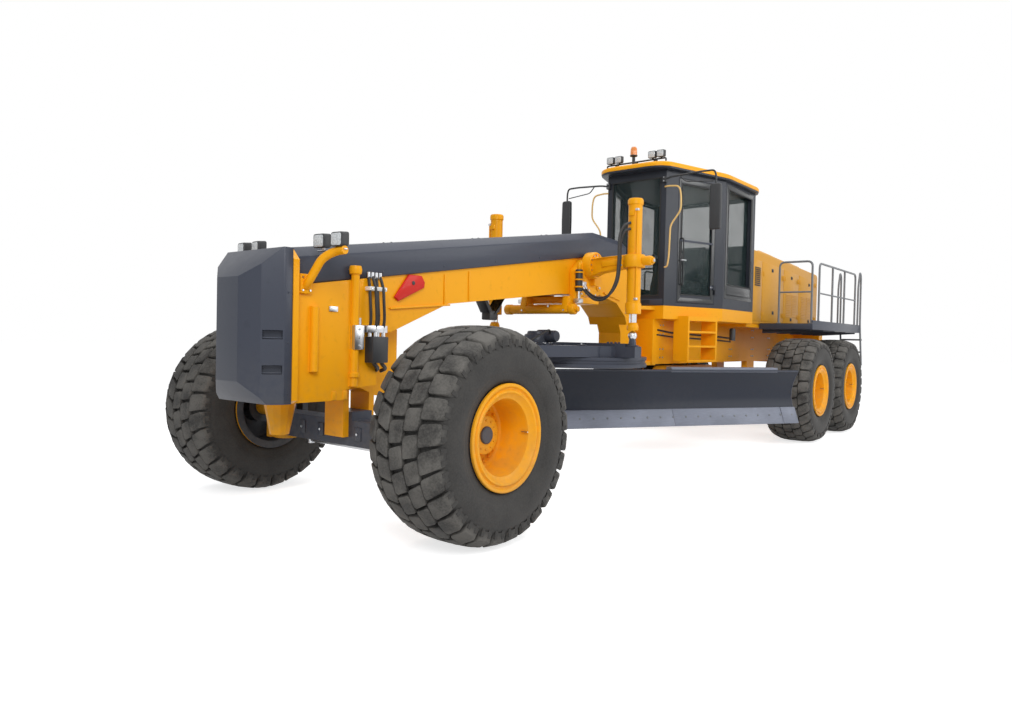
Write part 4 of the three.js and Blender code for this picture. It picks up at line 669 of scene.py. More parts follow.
def make_tyre_piece(name, centre, side):
    """A wide tyre: carcass, five staggered rows of skewed blocks and the ribs of its shoulder"""
    sizes = bpy.context.scene.grader_wheels
    tyre = Shape(name)
    seat, far_seat = (0.4755, 0.300), (0.4755, -0.300)
    outline = [far_seat, *[(r, -v) for r, v in reversed(CARCASS)], *CARCASS[1:], seat, far_seat]
    tyre.turned(outline, centre, X, "tyre", 84)
    count = sizes.tread_pitches
    pitch = 2 * math.pi / count
    pattern = bmesh.new()
    bmesh.ops.create_cube(pattern, size=1.0)
    tapered = [v for v in pattern.verts if v.co.z > 0]
    bmesh.ops.scale(pattern, vec=(0.93, 0.93, 1.0), verts=tapered)
    corners = [e for e in pattern.edges if abs((e.verts[0].co - e.verts[1].co).z) > 0.5]
    bmesh.ops.bevel(pattern, geom=corners, offset=0.17, offset_type="OFFSET", segments=3, profile=0.5, affect="EDGES",
        clamp_overlap=True, material=-1)
    rim = [e for e in pattern.edges if all(v.co.z > 0.4 for v in e.verts)]
    bmesh.ops.bevel(pattern, geom=rim, offset=0.07, offset_type="OFFSET", segments=2, profile=0.5, affect="EDGES",
        clamp_overlap=True, material=-1)
    stamp = bpy.data.meshes.new("stamp")
    pattern.to_mesh(stamp)
    pattern.free()
    blocks = bmesh.new()
    for across, width, shift, skew in TREAD_ROWS:
        for k in range(count):
            first = len(blocks.verts)
            blocks.from_mesh(stamp)
            blocks.verts.ensure_lookup_table()
            for v in blocks.verts[first:]:
                v_across = across + v.co.y * width
                angle = (k + shift) * pitch + v.co.x * pitch * 0.90 + skew * (v.co.y * width) / 0.95
                angle += 0.010 * math.sin(v.co.y * 6.0 + k)
                top = tread_radius(v_across)
                low = top - sizes.block_depth - (0.03 if abs(v_across) > 0.34 else 0.012)
                radius = low + (top - low) * (v.co.z + 0.5)
                v.co = centre + Vector((v_across, radius * math.sin(angle), radius * math.cos(angle)))
    bpy.data.meshes.remove(stamp)
    tyre.take(blocks, "tyre")
    ribs = bmesh.new()
    for end in (-1, 1):
        for k in range(count * 2):
            angle = (k + 0.25) * pitch / 2
            grown = bmesh.ops.create_cube(ribs, size=1.0)["verts"]
            bmesh.ops.scale(ribs, vec=(0.020, 0.036, 0.070), verts=grown)
            bmesh.ops.translate(ribs, vec=(end * 0.394, 0, 0.822), verts=grown)
            bmesh.ops.rotate(ribs, cent=(0, 0, 0), matrix=Matrix.Rotation(angle, 3, "X"), verts=grown)
            bmesh.ops.translate(ribs, vec=centre, verts=grown)
    tyre.take(ribs, "tyre")
    row = name.split("_")[0]
    made = tyre.done(f"{row}_{side}_wheel", "tyre_rubber", f"{row}_{side}_tyre", angle=42)
    tops = made.data.attributes.new("dust", "FLOAT", "POINT")
    for vertex, top in zip(made.data.vertices, tops.data):
        place = vertex.co - centre
        radius = math.hypot(place.y, place.z)
        clear = radius - tread_radius(place.x)
        top.value = 1.0 if clear > -0.012 and abs(place.x) < 0.40 else 0.0
    return made


RIM_FRONT = ((0.0, 0.128), (0.155, 0.128), (0.172, 0.122), (0.188, 0.060), (0.204, 0.024), (0.302, 0.022),
    (0.322, 0.034), (0.333, 0.060), (0.333, 0.318), (0.340, 0.340), (0.370, 0.354), (0.394, 0.384), (0.410, 0.386),
    (0.422, 0.368), (0.434, 0.370), (0.446, 0.388), (0.466, 0.390), (0.4745, 0.384), (0.4745, 0.362), (0.462, 0.356))
RIM_BACK = ((0.462, -0.356), (0.4745, -0.362), (0.4745, -0.386), (0.440, -0.389), (0.394, -0.386), (0.388, -0.330),
    (0.388, -0.050), (0.370, -0.030), (0.190, -0.030), (0.190, -0.176), (0.104, -0.179), (0.104, 0.0905),
    (0.0, 0.0905))


RIM_SHADE_LINE = 0.010  # behind this plane the wheel's inside gets the dark cab slate: painted shade inside the dish


def make_rim_piece(name, centre, side, end):
    """A deep dished rim with a stepped flange, its bolted disc and hub cap"""
    sizes = bpy.context.scene.grader_wheels
    rim = Shape(name)
    out = X * end
    rim.turned([*RIM_FRONT, *RIM_BACK], centre, out, "yellow", 72)
    # The rim's inside behind that plane takes the dark cab slate, painted shade where the dish is unlit, not a second
    # paint
    rim.finishes.append("cab")
    for face in rim.whole.faces:
        spot = face.calc_center_median() - centre
        if spot.dot(out) < RIM_SHADE_LINE and math.hypot(spot.y, spot.z) < 0.47:
            face.material_index = 1
    bolts = ring_about(centre + out * 0.022, X, sizes.bolt_circle, sizes.rim_bolts)
    rim.bolts(bolts, out, 0.017, 0.022, "yellow")
    rim.bolts(ring_about(centre + out * 0.127, X, 0.128, 12), out, 0.009, 0.010, "yellow")
    rim.turned([(0.0, 0.154), (0.070, 0.150), (0.078, 0.142), (0.078, 0.124), (0.0, 0.124)], centre, out, "slate", 36)
    valve = centre + out * 0.33 + Vector((0, 0.318, 0.02))
    rim.rod(valve - out * 0.05, valve + out * 0.02, 0.006, "steel", sides=10)
    row = name.split("_")[0]
    return rim.done(f"{row}_{side}_wheel", "yellow_paint", f"{row}_{side}_rim", angle=30)


class GRADER_OT_tyres(bpy.types.Operator):
    """Builds the six wide tyres with their tread blocks"""
    bl_idname = "grader.tyres"
    bl_label = "Tyres"

    def execute(self, context):
        for row in ROWS:
            for side, _ in SIDES:
                node = f"{row}_{side}_tyre"
                make_tyre_piece(node + "_tread", middle(node), side)
        return {"FINISHED"}


class GRADER_OT_rims(bpy.types.Operator):
    """Builds the six dished rims with their bolts"""
    bl_idname = "grader.rims"
    bl_label = "Rims"

    def execute(self, context):
        for row in ROWS:
            for side, end in SIDES:
                centre = middle(f"{row}_{side}_tyre")
                make_rim_piece(f"{row}_{side}_rim_dish", centre, side, end)
        return {"FINISHED"}


# ---------------------------------------------------------------- front axle and nose
class GRADER_OT_front_axle(bpy.types.Operator):
    """Adds caps, grease nipples and bolts to the front axle"""
    bl_idname = "grader.front_axle"
    bl_label = "Front axle fittings"

    def execute(self, context):
        low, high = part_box("front_axle")
        for side, end in SIDES:
            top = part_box(f"{side}_knuckle")[1].z
            x = end * (high.x - 0.11)
            caps = Shape(f"{side}_knuckle_caps")
            caps.turned([(0, 0.028), (0.060, 0.024), (0.072, 0.012), (0.072, 0.0), (0, 0.0)],
                (x, AXLE_Y, top - 0.001), Z, "slate", 32)
            caps.bolts(ring_about(Vector((x, AXLE_Y, top - 0.021)), Z, 0.09, 6, math.pi / 4), Z, 0.012, 0.014)
            caps.rod((x, AXLE_Y, top + 0.02), (x, AXLE_Y, top + 0.045), 0.007, "steel", sides=8)
            caps.done(f"{side}_knuckle", "slate_paint")
        beam = Shape("axle_flanges")
        for y in (-0.131, 0.131):
            for x in (-0.62, -0.30, 0.30, 0.62):
                beam.block((x - 0.05, AXLE_Y + y - 0.012, low.z + 0.06), (x + 0.05, AXLE_Y + y + 0.012, low.z + 0.20),
                    "slate", 0.008)
                beam.bolts([(x, AXLE_Y + y * 1.09, low.z + 0.13)], Y * (1 if y > 0 else -1), 0.014, 0.012)
        beam.done("front", "slate_paint")
        return {"FINISHED"}


class GRADER_OT_nose(bpy.types.Operator):
    """Builds the nose cover with its planed front and climbing pockets"""
    bl_idname = "grader.nose"
    bl_label = "Nose cover"

    def execute(self, context):
        low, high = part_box("nose_cover")
        half, back = high.x, high.y
        shell = bmesh.new()
        outline = [(-0.175, low.y), (0.175, low.y), (0.360, low.y + 0.11), (half, low.y + 0.28), (half, back),
            (-half, back), (-half, low.y + 0.28), (-0.360, low.y + 0.11)]
        face = shell.faces.new([shell.verts.new((x, y, low.z)) for x, y in outline])
        pushed = bmesh.ops.extrude_face_region(shell, geom=[face])
        bmesh.ops.translate(shell, vec=Z * (high.z - low.z), verts=[v
            for v in pushed["geom"] if isinstance(v, bmesh.types.BMVert)])
        bmesh.ops.recalc_face_normals(shell, faces=shell.faces[:])
        for spot, away in ((Vector((0, low.y, 2.330)), Vector((0, -0.271, 0.270))),
                           (Vector((0, low.y, 1.400)), Vector((0, -0.200, -0.160)))):
            sliced = bmesh.ops.bisect_plane(shell, geom=[*shell.verts, *shell.edges, *shell.faces], plane_co=spot,
                plane_no=away, clear_outer=True, dist=1e-5)
            rim = [e for e in sliced["geom_cut"] if isinstance(e, bmesh.types.BMEdge)]
            bmesh.ops.contextual_create(shell, geom=rim)
        bmesh.ops.recalc_face_normals(shell, faces=shell.faces[:])
        pockets = []
        for end in (-1, 1):
            start, stop = Vector((0.360 * end, low.y + 0.11, 0)), Vector((half * end, low.y + 0.28, 0))
            across = (stop - start).normalized()
            facing = Vector((abs(across.y) * end, -abs(across.x), 0)).normalized()
            pockets += [((start + stop) / 2 + Z * height, across, facing) for height in (1.82, 1.51)]
        for spot, across, facing in pockets:
            pocket = opening(shell, spot, facing, across, 0.086, 0.040)
            bmesh.ops.inset_region(shell, faces=[pocket], thickness=0.006, depth=-0.055, use_even_offset=True)
        soften(shell, 0.014, 3, 0.30)
        nose = Shape("nose_panels")
        nose.take(shell, "slate")
        for spot, across, facing in pockets:
            step = spot - Z * 0.034
            nose.slab([step + across * a + facing * out for a, out in ((-0.084, -0.042), (0.084, -0.042),
                (0.084, -0.002), (-0.084, -0.002))], Z * 0.012, "slate", 0.003)
        for x in (-0.40, 0.40):
            for z in (1.30, 1.75, 2.20):
                nose.bolts([(math.copysign(half - 0.002, x), back - 0.045, z)], X * (1 if x > 0 else -1), 0.010,
                    0.006, "slate")
        nose.done("front", "slate_paint", "nose_cover")
        return {"FINISHED"}


class GRADER_OT_front_frame(bpy.types.Operator):
    """Adds the flange bolts, ribs, valves, reflectors and brackets of the front frame"""
    bl_idname = "grader.front_frame"
    bl_label = "Front frame fittings"

    def execute(self, context):
        flange, wall = COVER_START, NOSE_SIDE
        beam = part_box("beam_cover")[1].x - 0.03
        trim = Shape("front_frame_trim")
        for z in (1.30, 1.55, 1.80, 2.05, 2.30):
            trim.bolts([at(wall + 0.035, flange + 0.060, z)], Y, 0.014, 0.016, "yellow")
        trim.rod(at(wall + 0.020, -0.775, 1.485), at(wall + 0.020, -0.775, 2.085), 0.040, "yellow", sides=24)
        trim.turned([(0.040, 0.0), (0.060, 0.008), (0.064, 0.05), (0.055, 0.085), (0.0, 0.09)],
            at(0.425, -0.30, 2.42), Z, "yellow", 24)
        trim.turned([(0.040, 0.0), (0.056, 0.0), (0.056, 0.04), (0.040, 0.05)], at(0.425, -0.30, 1.42), Z, "yellow",
            24)
        for z in (1.60, 1.95):
            trim.block(at(wall, -0.345, z), at(wall + 0.02, -0.255, z + 0.05), "yellow", 0.006)
        trim.block(at(wall - 0.01, -0.60, 2.05), at(wall + 0.012, -0.50, 2.10), "steel", 0.003)
        # Ledge and stiffeners of the beam's side
        trim.slab(beside(beam, (0.22, 2.105), (1.12, 2.185), (1.12, 2.205), (0.22, 2.125)), X * 0.022, "yellow",
            0.004)
        for back, bottom, top in ((1.03, 2.19, 2.53), (1.44, 2.26, 2.60)):
            trim.slab(beside(beam, (back, bottom), (back + 0.022, bottom), (back + 0.022, top), (back, top)),
                X * 0.014, "yellow", 0.003)
        trim.slab(beside(beam, (4.46, 2.52), (4.92, 2.44), (4.92, 2.47), (4.46, 2.55)), X * 0.020, "yellow", 0.004)
        for back in (-0.55, -0.42):
            trim.block(at(wall - 0.03, back, 1.205), at(wall + 0.010, back + 0.05, 1.29), "yellow", 0.006)
        trim.mirrored()
        trim.done("front", "yellow_paint")

        # Red reflector beside the beam, a flat plate with a rounded tip
        sign = Shape("red_reflectors")
        outline = beside(beam, (0.27, 2.235), (0.33, 2.195), (0.70, 2.36), (0.71, 2.42), (0.66, 2.488), (0.47, 2.488))
        sign.slab(outline, X * 0.030, "red", 0.012, 3)
        sign.rod(at(beam + 0.024, 0.53, 2.40), at(beam + 0.036, 0.53, 2.40), 0.022, "plastic", sides=16, soft=0.003)
        sign.done("front", "yellow_paint")

        # Forked hanger under the beam in near-black plastic, a dark stand-in for the shaded far lift rod and its
        # yoke: painted shade
        fork = Shape("beam_hanger_painted_shade")
        for b0, b1 in ((1.98, 2.18), (2.50, 2.30)):
            fork.slab(beside(-0.08, (b0, 2.39), (b0 + (0.06 if b0 < 2.2 else -0.06), 2.39), (b1 + 0.03, 2.17),
                (b1 - 0.03, 2.15)), X * 0.16, "plastic", 0.008)
        fork.block(at(-0.07, 2.16, 2.06), at(0.07, 2.32, 2.18), "plastic", 0.014)
        fork.done("front", "slate_paint")

        # Folded bracket and silver valve beneath the beam
        links = Shape("beam_valves")
        links.block(at(beam, -0.34, 1.69), at(beam + 0.14, -0.22, 1.93), "steel", 0.008)
        links.block(at(beam + 0.02, -0.20, 1.86), at(beam + 0.16, 0.06, 1.93), "steel", 0.006)
        for back in (-0.31, -0.25):
            links.rod(at(beam + 0.10, back, 1.93), at(beam + 0.10, back, 2.00), 0.016, "steel", sides=12)
        links.bolts([at(beam + 0.14, -0.28, z) for z in (1.73, 1.81, 1.89)], X, 0.012, 0.012)
        links.done("front", "yellow_paint")
        return {"FINISHED"}


class GRADER_OT_beam_cover(bpy.types.Operator):
    """Builds the long planed cover of the beam with its joints"""
    bl_idname = "grader.beam_cover"
    bl_label = "Beam cover"

    def execute(self, context):
        cover = Shape("beam_cover_panels")
        cover.copy("beam_cover", "slate", 0.014, 3)
        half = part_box("beam_cover")[1].x
        for back in (0.30, 1.70, 3.10):
            top = COVER_FOOT + (back - COVER_START) * COVER_RISE
            cover.slab(abreast(back, (-half + 0.10, top - 0.004), (half - 0.10, top - 0.004),
                (half - 0.10, top + 0.0015), (-half + 0.10, top + 0.0015)), Y * 0.008, "seal", 0.0)
            for x in (-0.20, 0.20):
                cover.bolts(beside(x, (back - 0.05, top - 0.008), (back + 0.06, top + 0.009)), Z, 0.011, 0.006,
                    "slate")
        for back in (-0.80, 0.10, 1.00, 1.90, 2.80):
            z = COVER_FOOT + (back - COVER_START) * COVER_RISE - 0.30
            for end in (-1, 1):
                cover.bolts([at(end * (half - 0.001), back, z)], X * end, 0.012, 0.007, "slate")
        cover.done("front", "slate_paint", "beam_cover")
        return {"FINISHED"}


def work_lamp(lamp, centre, facing, size):
    """A square black lamp with a pale lens and cooling ribs behind"""
    facing = facing.normalized()
    across = facing.cross(Z).normalized()
    h, w, d = size * 0.5, size * 0.56, size * 0.36
    corners = [centre - facing * d + across * a * w + Z * b * h
        for a, b in ((-1, -0.8), (-0.8, -1), (0.8, -1), (1, -0.8), (1, 0.8), (0.8, 1), (-0.8, 1), (-1, 0.8))]
    lamp.slab(corners, facing * d * 2, "plastic", 0.010)
    inner = [centre + facing * d + (c - centre + facing * d) * 0.84 for c in corners]
    lamp.slab(inner, facing * 0.004, "lens", 0.002)
    for i in range(4):
        spot = centre - facing * (d + 0.010) + across * w * (-0.6 + 0.4 * i)
        lamp.slab([spot + across * 0.004 - Z * h * 0.8, spot - across * 0.004 - Z * h * 0.8,
            spot - across * 0.004 + Z * h * 0.8, spot + across * 0.004 + Z * h * 0.8], facing * 0.02, "plastic", 0.0)


class GRADER_OT_work_lights(bpy.types.Operator):
    """Builds the pairs of work lamps on their bent arms"""
    bl_idname = "grader.work_lights"
    bl_label = "Work lamps"

    def execute(self, context):
        lights = Shape("left_work_lamps")
        lights.pipe(route((0.43, -0.88, 2.27), (0.49, -0.88, 2.32), (0.60, -0.83, 2.52), (0.70, -0.762, 2.585),
            (0.83, -0.755, 2.590)), 0.040, "yellow", 0.10, 4)
        lights.block(at(0.412, -0.945, 2.20), at(0.444, -0.815, 2.38), "yellow", 0.008)
        lights.bolts([at(0.444, b, z) for b in (-0.92, -0.84) for z in (2.23, 2.35)], X, 0.011, 0.010)
        lights.block(at(0.45, -0.775, 2.592), at(0.842, -0.735, 2.604), "steel", 0.003)
        for x in (0.512, 0.768):
            lights.block(at(x - 0.045, -0.772, 2.600), at(x + 0.045, -0.764, 2.660), "steel", 0.002)
            work_lamp(lights, at(x, -0.765, 2.688), Vector((0.10, -1, -0.10)), 0.130)
        left = lights.done("front", "yellow_paint", "left_work_lights")
        flipped(left, "right_work_lamps", "front", "yellow_paint", "right_work_lights")
        return {"FINISHED"}


class GRADER_OT_hoses(bpy.types.Operator):
    """Runs the hydraulic hoses beside the nose block and round the saddle"""
    bl_idname = "grader.hoses"
    bl_label = "Hoses"

    def execute(self, context):
        wall = NOSE_SIDE
        block = Shape("front_hose_set")
        block.block(at(wall, -0.16, 1.56), at(wall + 0.13, 0.04, 1.82), "plastic", 0.010)
        for i in range(4):
            back = -0.135 + 0.05 * i
            x = wall + 0.045 + 0.030 * (i % 2)
            low = at(x, back, 1.815)
            block.rod(low, low + Z * 0.05, 0.020, "steel", sides=6)
            block.rod(low + Z * 0.05, low + Z * 0.10, 0.017, "steel", sides=16)
            block.hose([low + Z * 0.08, at(x + 0.015, back, 2.00), at(x + 0.022, back - 0.015, 2.15),
                at(x - 0.002, back - 0.008, 2.30), at(wall + 0.012, back, 2.430)], 0.015)
            block.rod(at(wall + 0.012, back, 2.40), at(wall + 0.012, back, 2.46), 0.019, "steel", sides=16)
        block.block(at(wall - 0.005, -0.165, 2.275), at(wall + 0.075, 0.060, 2.315), "white", 0.006)
        block.bolts([at(wall + 0.075, b, 2.295) for b in (-0.145, 0.04)], X, 0.009, 0.008)
        for i in range(2):
            block.hose(route((wall + 0.06, -0.12 + 0.1 * i, 1.60), (wall + 0.075, -0.09 + 0.1 * i, 1.545),
                (wall + 0.04, -0.02 + 0.1 * i, 1.50), (wall - 0.05, 0.02 + 0.08 * i, 1.47)), 0.020)
        block.done("front", "hose_rubber", "front_hoses")

        run = Shape("saddle_hose_set")
        cheek, wall, lift = 0.451, 1.115, LIFT_BACK
        run.block(at(cheek, lift - 0.22, 2.54), at(cheek + 0.07, lift - 0.09, 2.64), "steel", 0.008)
        for i in range(2):
            run.hose(route((cheek + 0.05, lift - 0.12 - 0.07 * i, 2.590),
                (cheek + 0.11, lift - 0.13 - 0.06 * i, 2.50), (cheek + 0.30, lift - 0.18 - 0.05 * i, 2.41 - 0.03 * i),
                (cheek + 0.48, lift - 0.18 - 0.05 * i, 2.44 - 0.03 * i), (wall - 0.06, lift - 0.17 - 0.04 * i, 2.62),
                (wall - 0.03, lift - 0.16 - 0.04 * i, 2.90), (wall - 0.03, lift - 0.15 - 0.04 * i, 3.15 + 0.06 * i),
                (wall + 0.02, lift - 0.14 - 0.02 * i, 3.29 + 0.07 * i), (wall + 0.085, lift - 0.10, 3.33 + 0.08 * i)),
                0.018)
            run.rod(at(cheek + 0.055, lift - 0.12 - 0.07 * i, 2.60), at(cheek + 0.095, lift - 0.128 - 0.06 * i, 2.53),
                0.021, "steel", sides=12)
        run.done("front", "hose_rubber", "saddle_hoses")
        return {"FINISHED"}


# ---------------------------------------------------------------- blade lift, circle and blade
class GRADER_OT_lift_cylinders(bpy.types.Operator):
    """Builds the two upright lift cylinders and their chromed rods"""
    bl_idname = "grader.lift_cylinders"
    bl_label = "Lift cylinders"

    def execute(self, context):
        low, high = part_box("left_lift_cylinder")
        spot = (low + high) / 2
        z0, z1 = low.z, high.z
        barrel = Shape("left_lift_barrel")
        barrel.turned([(0.0506, z0), (0.100, z0), (0.107, z0 + 0.008), (0.107, z0 + 0.135), (0.100, z0 + 0.150),
            (0.093, z0 + 0.156), (0.093, z1 - 0.090), (0.104, z1 - 0.080), (0.105, z1 - 0.022), (0.090, z1 - 0.002),
            (0, z1), (0, z1 - 0.06), (0.0506, z1 - 0.06), (0.0506, z0)], (spot.x, spot.y, 0), Z, "yellow", 48)
        barrel.block((spot.x - 0.035, spot.y - 0.112, z1 - 0.24), (spot.x + 0.035, spot.y - 0.080, z1 - 0.17),
            "yellow", 0.006)
        barrel.rod((spot.x + 0.075, spot.y - 0.075, z0 + 0.20), (spot.x + 0.075, spot.y - 0.075, z1 - 0.14), 0.013,
            "yellow", sides=12)
        for z in (z0 + 0.20, z1 - 0.16):
            barrel.block((spot.x + 0.050, spot.y - 0.095, z - 0.015), (spot.x + 0.095, spot.y - 0.055, z + 0.015),
                "steel", 0.004)
        barrel.bolts(ring_about(Vector((spot.x, spot.y, z1 - 0.012)), Z, 0.082, 8), Z, 0.010, 0.010)
        left = barrel.done("front", "yellow_paint", "left_lift_cylinder")
        flipped(left, "right_lift_barrel", "front", "yellow_paint", "right_lift_cylinder")
        low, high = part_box("left_lift_rod")
        for side, _ in SIDES:
            node = f"{side}_lift_rod"
            spot = middle(node)
            bar = Shape(node + "_bar")
            bar.turned([(0, low.z + 0.004), (0.074, low.z + 0.004), (0.080, low.z + 0.014), (0.078, low.z + 0.060),
                (0.060, low.z + 0.104), (0.050, low.z + 0.110), (0, low.z + 0.110)], (spot.x, spot.y, 0), Z, "yellow",
                40)
            bar.turned([(0, low.z + 0.10), (0.0498, low.z + 0.10), (0.0498, high.z - 0.004), (0.046, high.z),
                (0, high.z)], (spot.x, spot.y, 0), Z, "chrome", 40)
            bar.done(node, "chrome_rod", node)
        return {"FINISHED"}


class GRADER_OT_saddle(bpy.types.Operator):
    """Builds the yoke over the beam, with its round bosses, arms and centre shift cylinder"""
    bl_idname = "grader.saddle"
    bl_label = "Lift saddle"

    def execute(self, context):
        lift, inner = LIFT_BACK, 0.3405
        y0, y1 = lift - 0.26, lift + 0.42
        saddle = Shape("saddle_yoke")
        cheek = beside(inner, (y0, 2.42), (y1 - 0.06, 2.47), (y1, 2.70), (y1, 2.96), (y0 + 0.20, 2.96), (y0, 2.80))
        saddle.slab(cheek, X * 0.110, "yellow", 0.014, 3)
        boss = at(0, lift + 0.08, 2.88)
        saddle.turned([(0, 0.44), (0.188, 0.44), (0.188, 0.560), (0.182, 0.572), (0.160, 0.575), (0.158, 0.566),
            (0.128, 0.566), (0.120, 0.590), (0.120, 0.634), (0.112, 0.640), (0.070, 0.640), (0.066, 0.628),
            (0, 0.628)], boss, X, "yellow", 48)
        saddle.bolts(ring_about(boss + X * 0.566, X, 0.143, 12), X, 0.012, 0.014)
        saddle.bolts([boss + X * 0.628], X, 0.026, 0.012, "steel")
        # Arm out to the lift cylinder, its yoke block and stiffening ribs
        saddle.slab(route((0.50, lift - 0.02, 2.70), (0.72, lift - 0.08, 2.76), (1.10, lift - 0.08, 2.81),
            (1.10, lift - 0.08, 2.99), (0.72, lift - 0.08, 2.97), (0.50, lift - 0.02, 2.96)), Y * 0.16, "yellow",
            0.012, 3)
        saddle.slab(abreast(lift - 0.10, (0.76, 2.83), (1.02, 2.86), (1.02, 2.93), (0.76, 2.92)), Y * 0.22, "yellow",
            0.008, 2)
        saddle.turned([(0.0955, 2.815), (0.138, 2.815), (0.145, 2.825), (0.145, 2.975), (0.138, 2.985),
            (0.0955, 2.985), (0.0955, 2.815)], at(1.21, lift, 0), Z, "yellow", 40)
        for z in (2.85, 2.95):
            saddle.bolts([at(1.06, lift - 0.08, z)], -Y, 0.014, 0.014)
        outer_end = at(0, lift, 2.90)
        saddle.turned([(0, 1.35), (0.062, 1.35), (0.066, 1.44), (0.058, 1.475), (0.040, 1.48), (0.040, 1.50),
            (0, 1.502)], outer_end, X, "yellow", 28)
        saddle.bolts([outer_end + X * 1.50], X, 0.022, 0.014)
        # Lock pin housing hung on the cheek
        saddle.rod(at(0.49, 3.56, 2.50), at(0.49, 3.56, 2.80), 0.052, "plastic", sides=24, soft=0.008)
        for z in (2.56, 2.66, 2.76):
            saddle.turned([(0.050, -0.010), (0.066, -0.010), (0.066, 0.010), (0.050, 0.010)], at(0.49, 3.56, z), Z,
                "yellow", 24)
        saddle.rod(at(0.49, 3.56, 2.80), at(0.49, 3.56, 2.90), 0.026, "yellow", sides=20, soft=0.004)
        saddle.rod(at(0.49, 3.56, 2.36), at(0.49, 3.56, 2.50), 0.022, "chrome", sides=20)
        saddle.block(at(0.44, 3.50, 2.34), at(0.53, 3.62, 2.40), "steel", 0.012)
        for z in (2.60, 2.72):
            saddle.block(at(0.43, 3.60, z - 0.02), at(0.47, 3.72, z + 0.02), "yellow", 0.006)
        # Trunnion pin, lock plate and grease blocks on the cheek
        pin = at(0, y0 + 0.07, 2.60)
        saddle.turned([(0, 0.44), (0.060, 0.44), (0.060, 0.470), (0.044, 0.476), (0.044, 0.510), (0, 0.512)], pin, X,
            "yellow", 32)
        saddle.rod(pin + X * 0.505, pin + X * 0.535, 0.026, "steel", sides=20, soft=0.004)
        for b, z in ((y1 - 0.10, 2.58), (y1 - 0.10, 2.88), (y0 + 0.30, 2.53)):
            saddle.turned([(0, 0.44), (0.046, 0.44), (0.046, 0.466), (0.036, 0.472), (0, 0.472)], at(0, b, z), X,
                "yellow", 28)
            saddle.bolts([at(0.472, b, z)], X, 0.018, 0.012)
        for b in (y0 + 0.14, y0 + 0.26, y0 + 0.38, y0 + 0.50):
            saddle.bolts([at(0.4505, b, 2.475)], X, 0.015, 0.014)
        saddle.block(at(0.44, y1 - 0.30, 2.60), at(0.52, y1 - 0.20, 2.72), "yellow", 0.010)
        saddle.rod(at(0.50, y1 - 0.25, 2.72), at(0.50, y1 - 0.25, 2.80), 0.018, "steel", sides=16)
        saddle.mirrored()
        saddle.block(at(-0.450, y0, 2.34), at(0.450, y1 - 0.06, 2.435), "yellow", 0.014, 3)
        # Centre shift cylinder lying across beneath the beam
        low = at(0, lift - 0.34, 2.25)
        saddle.turned([(0, -0.70), (0.068, -0.70), (0.074, -0.69), (0.074, -0.60), (0.066, -0.59), (0.066, 0.42),
            (0.075, 0.43), (0.075, 0.50), (0.066, 0.512), (0.038, 0.514), (0.038, 0.556), (0, 0.560)], low, X,
            "yellow", 36)
        for x in (-0.36, 0.36):
            saddle.slab(beside(x - 0.055, (lift - 0.42, 2.205), (lift - 0.20, 2.205), (lift - 0.20, 2.43),
                (lift - 0.36, 2.43)), X * 0.11, "yellow", 0.012)
            saddle.bolts([at(x, lift - 0.415, 2.235)], -Y, 0.014, 0.012)
        saddle.rod(at(0.10, lift - 0.42, 2.29), at(0.10, lift - 0.385, 2.29), 0.016, "steel", sides=16)
        saddle.done("front", "yellow_paint", "blade_saddle")
        return {"FINISHED"}


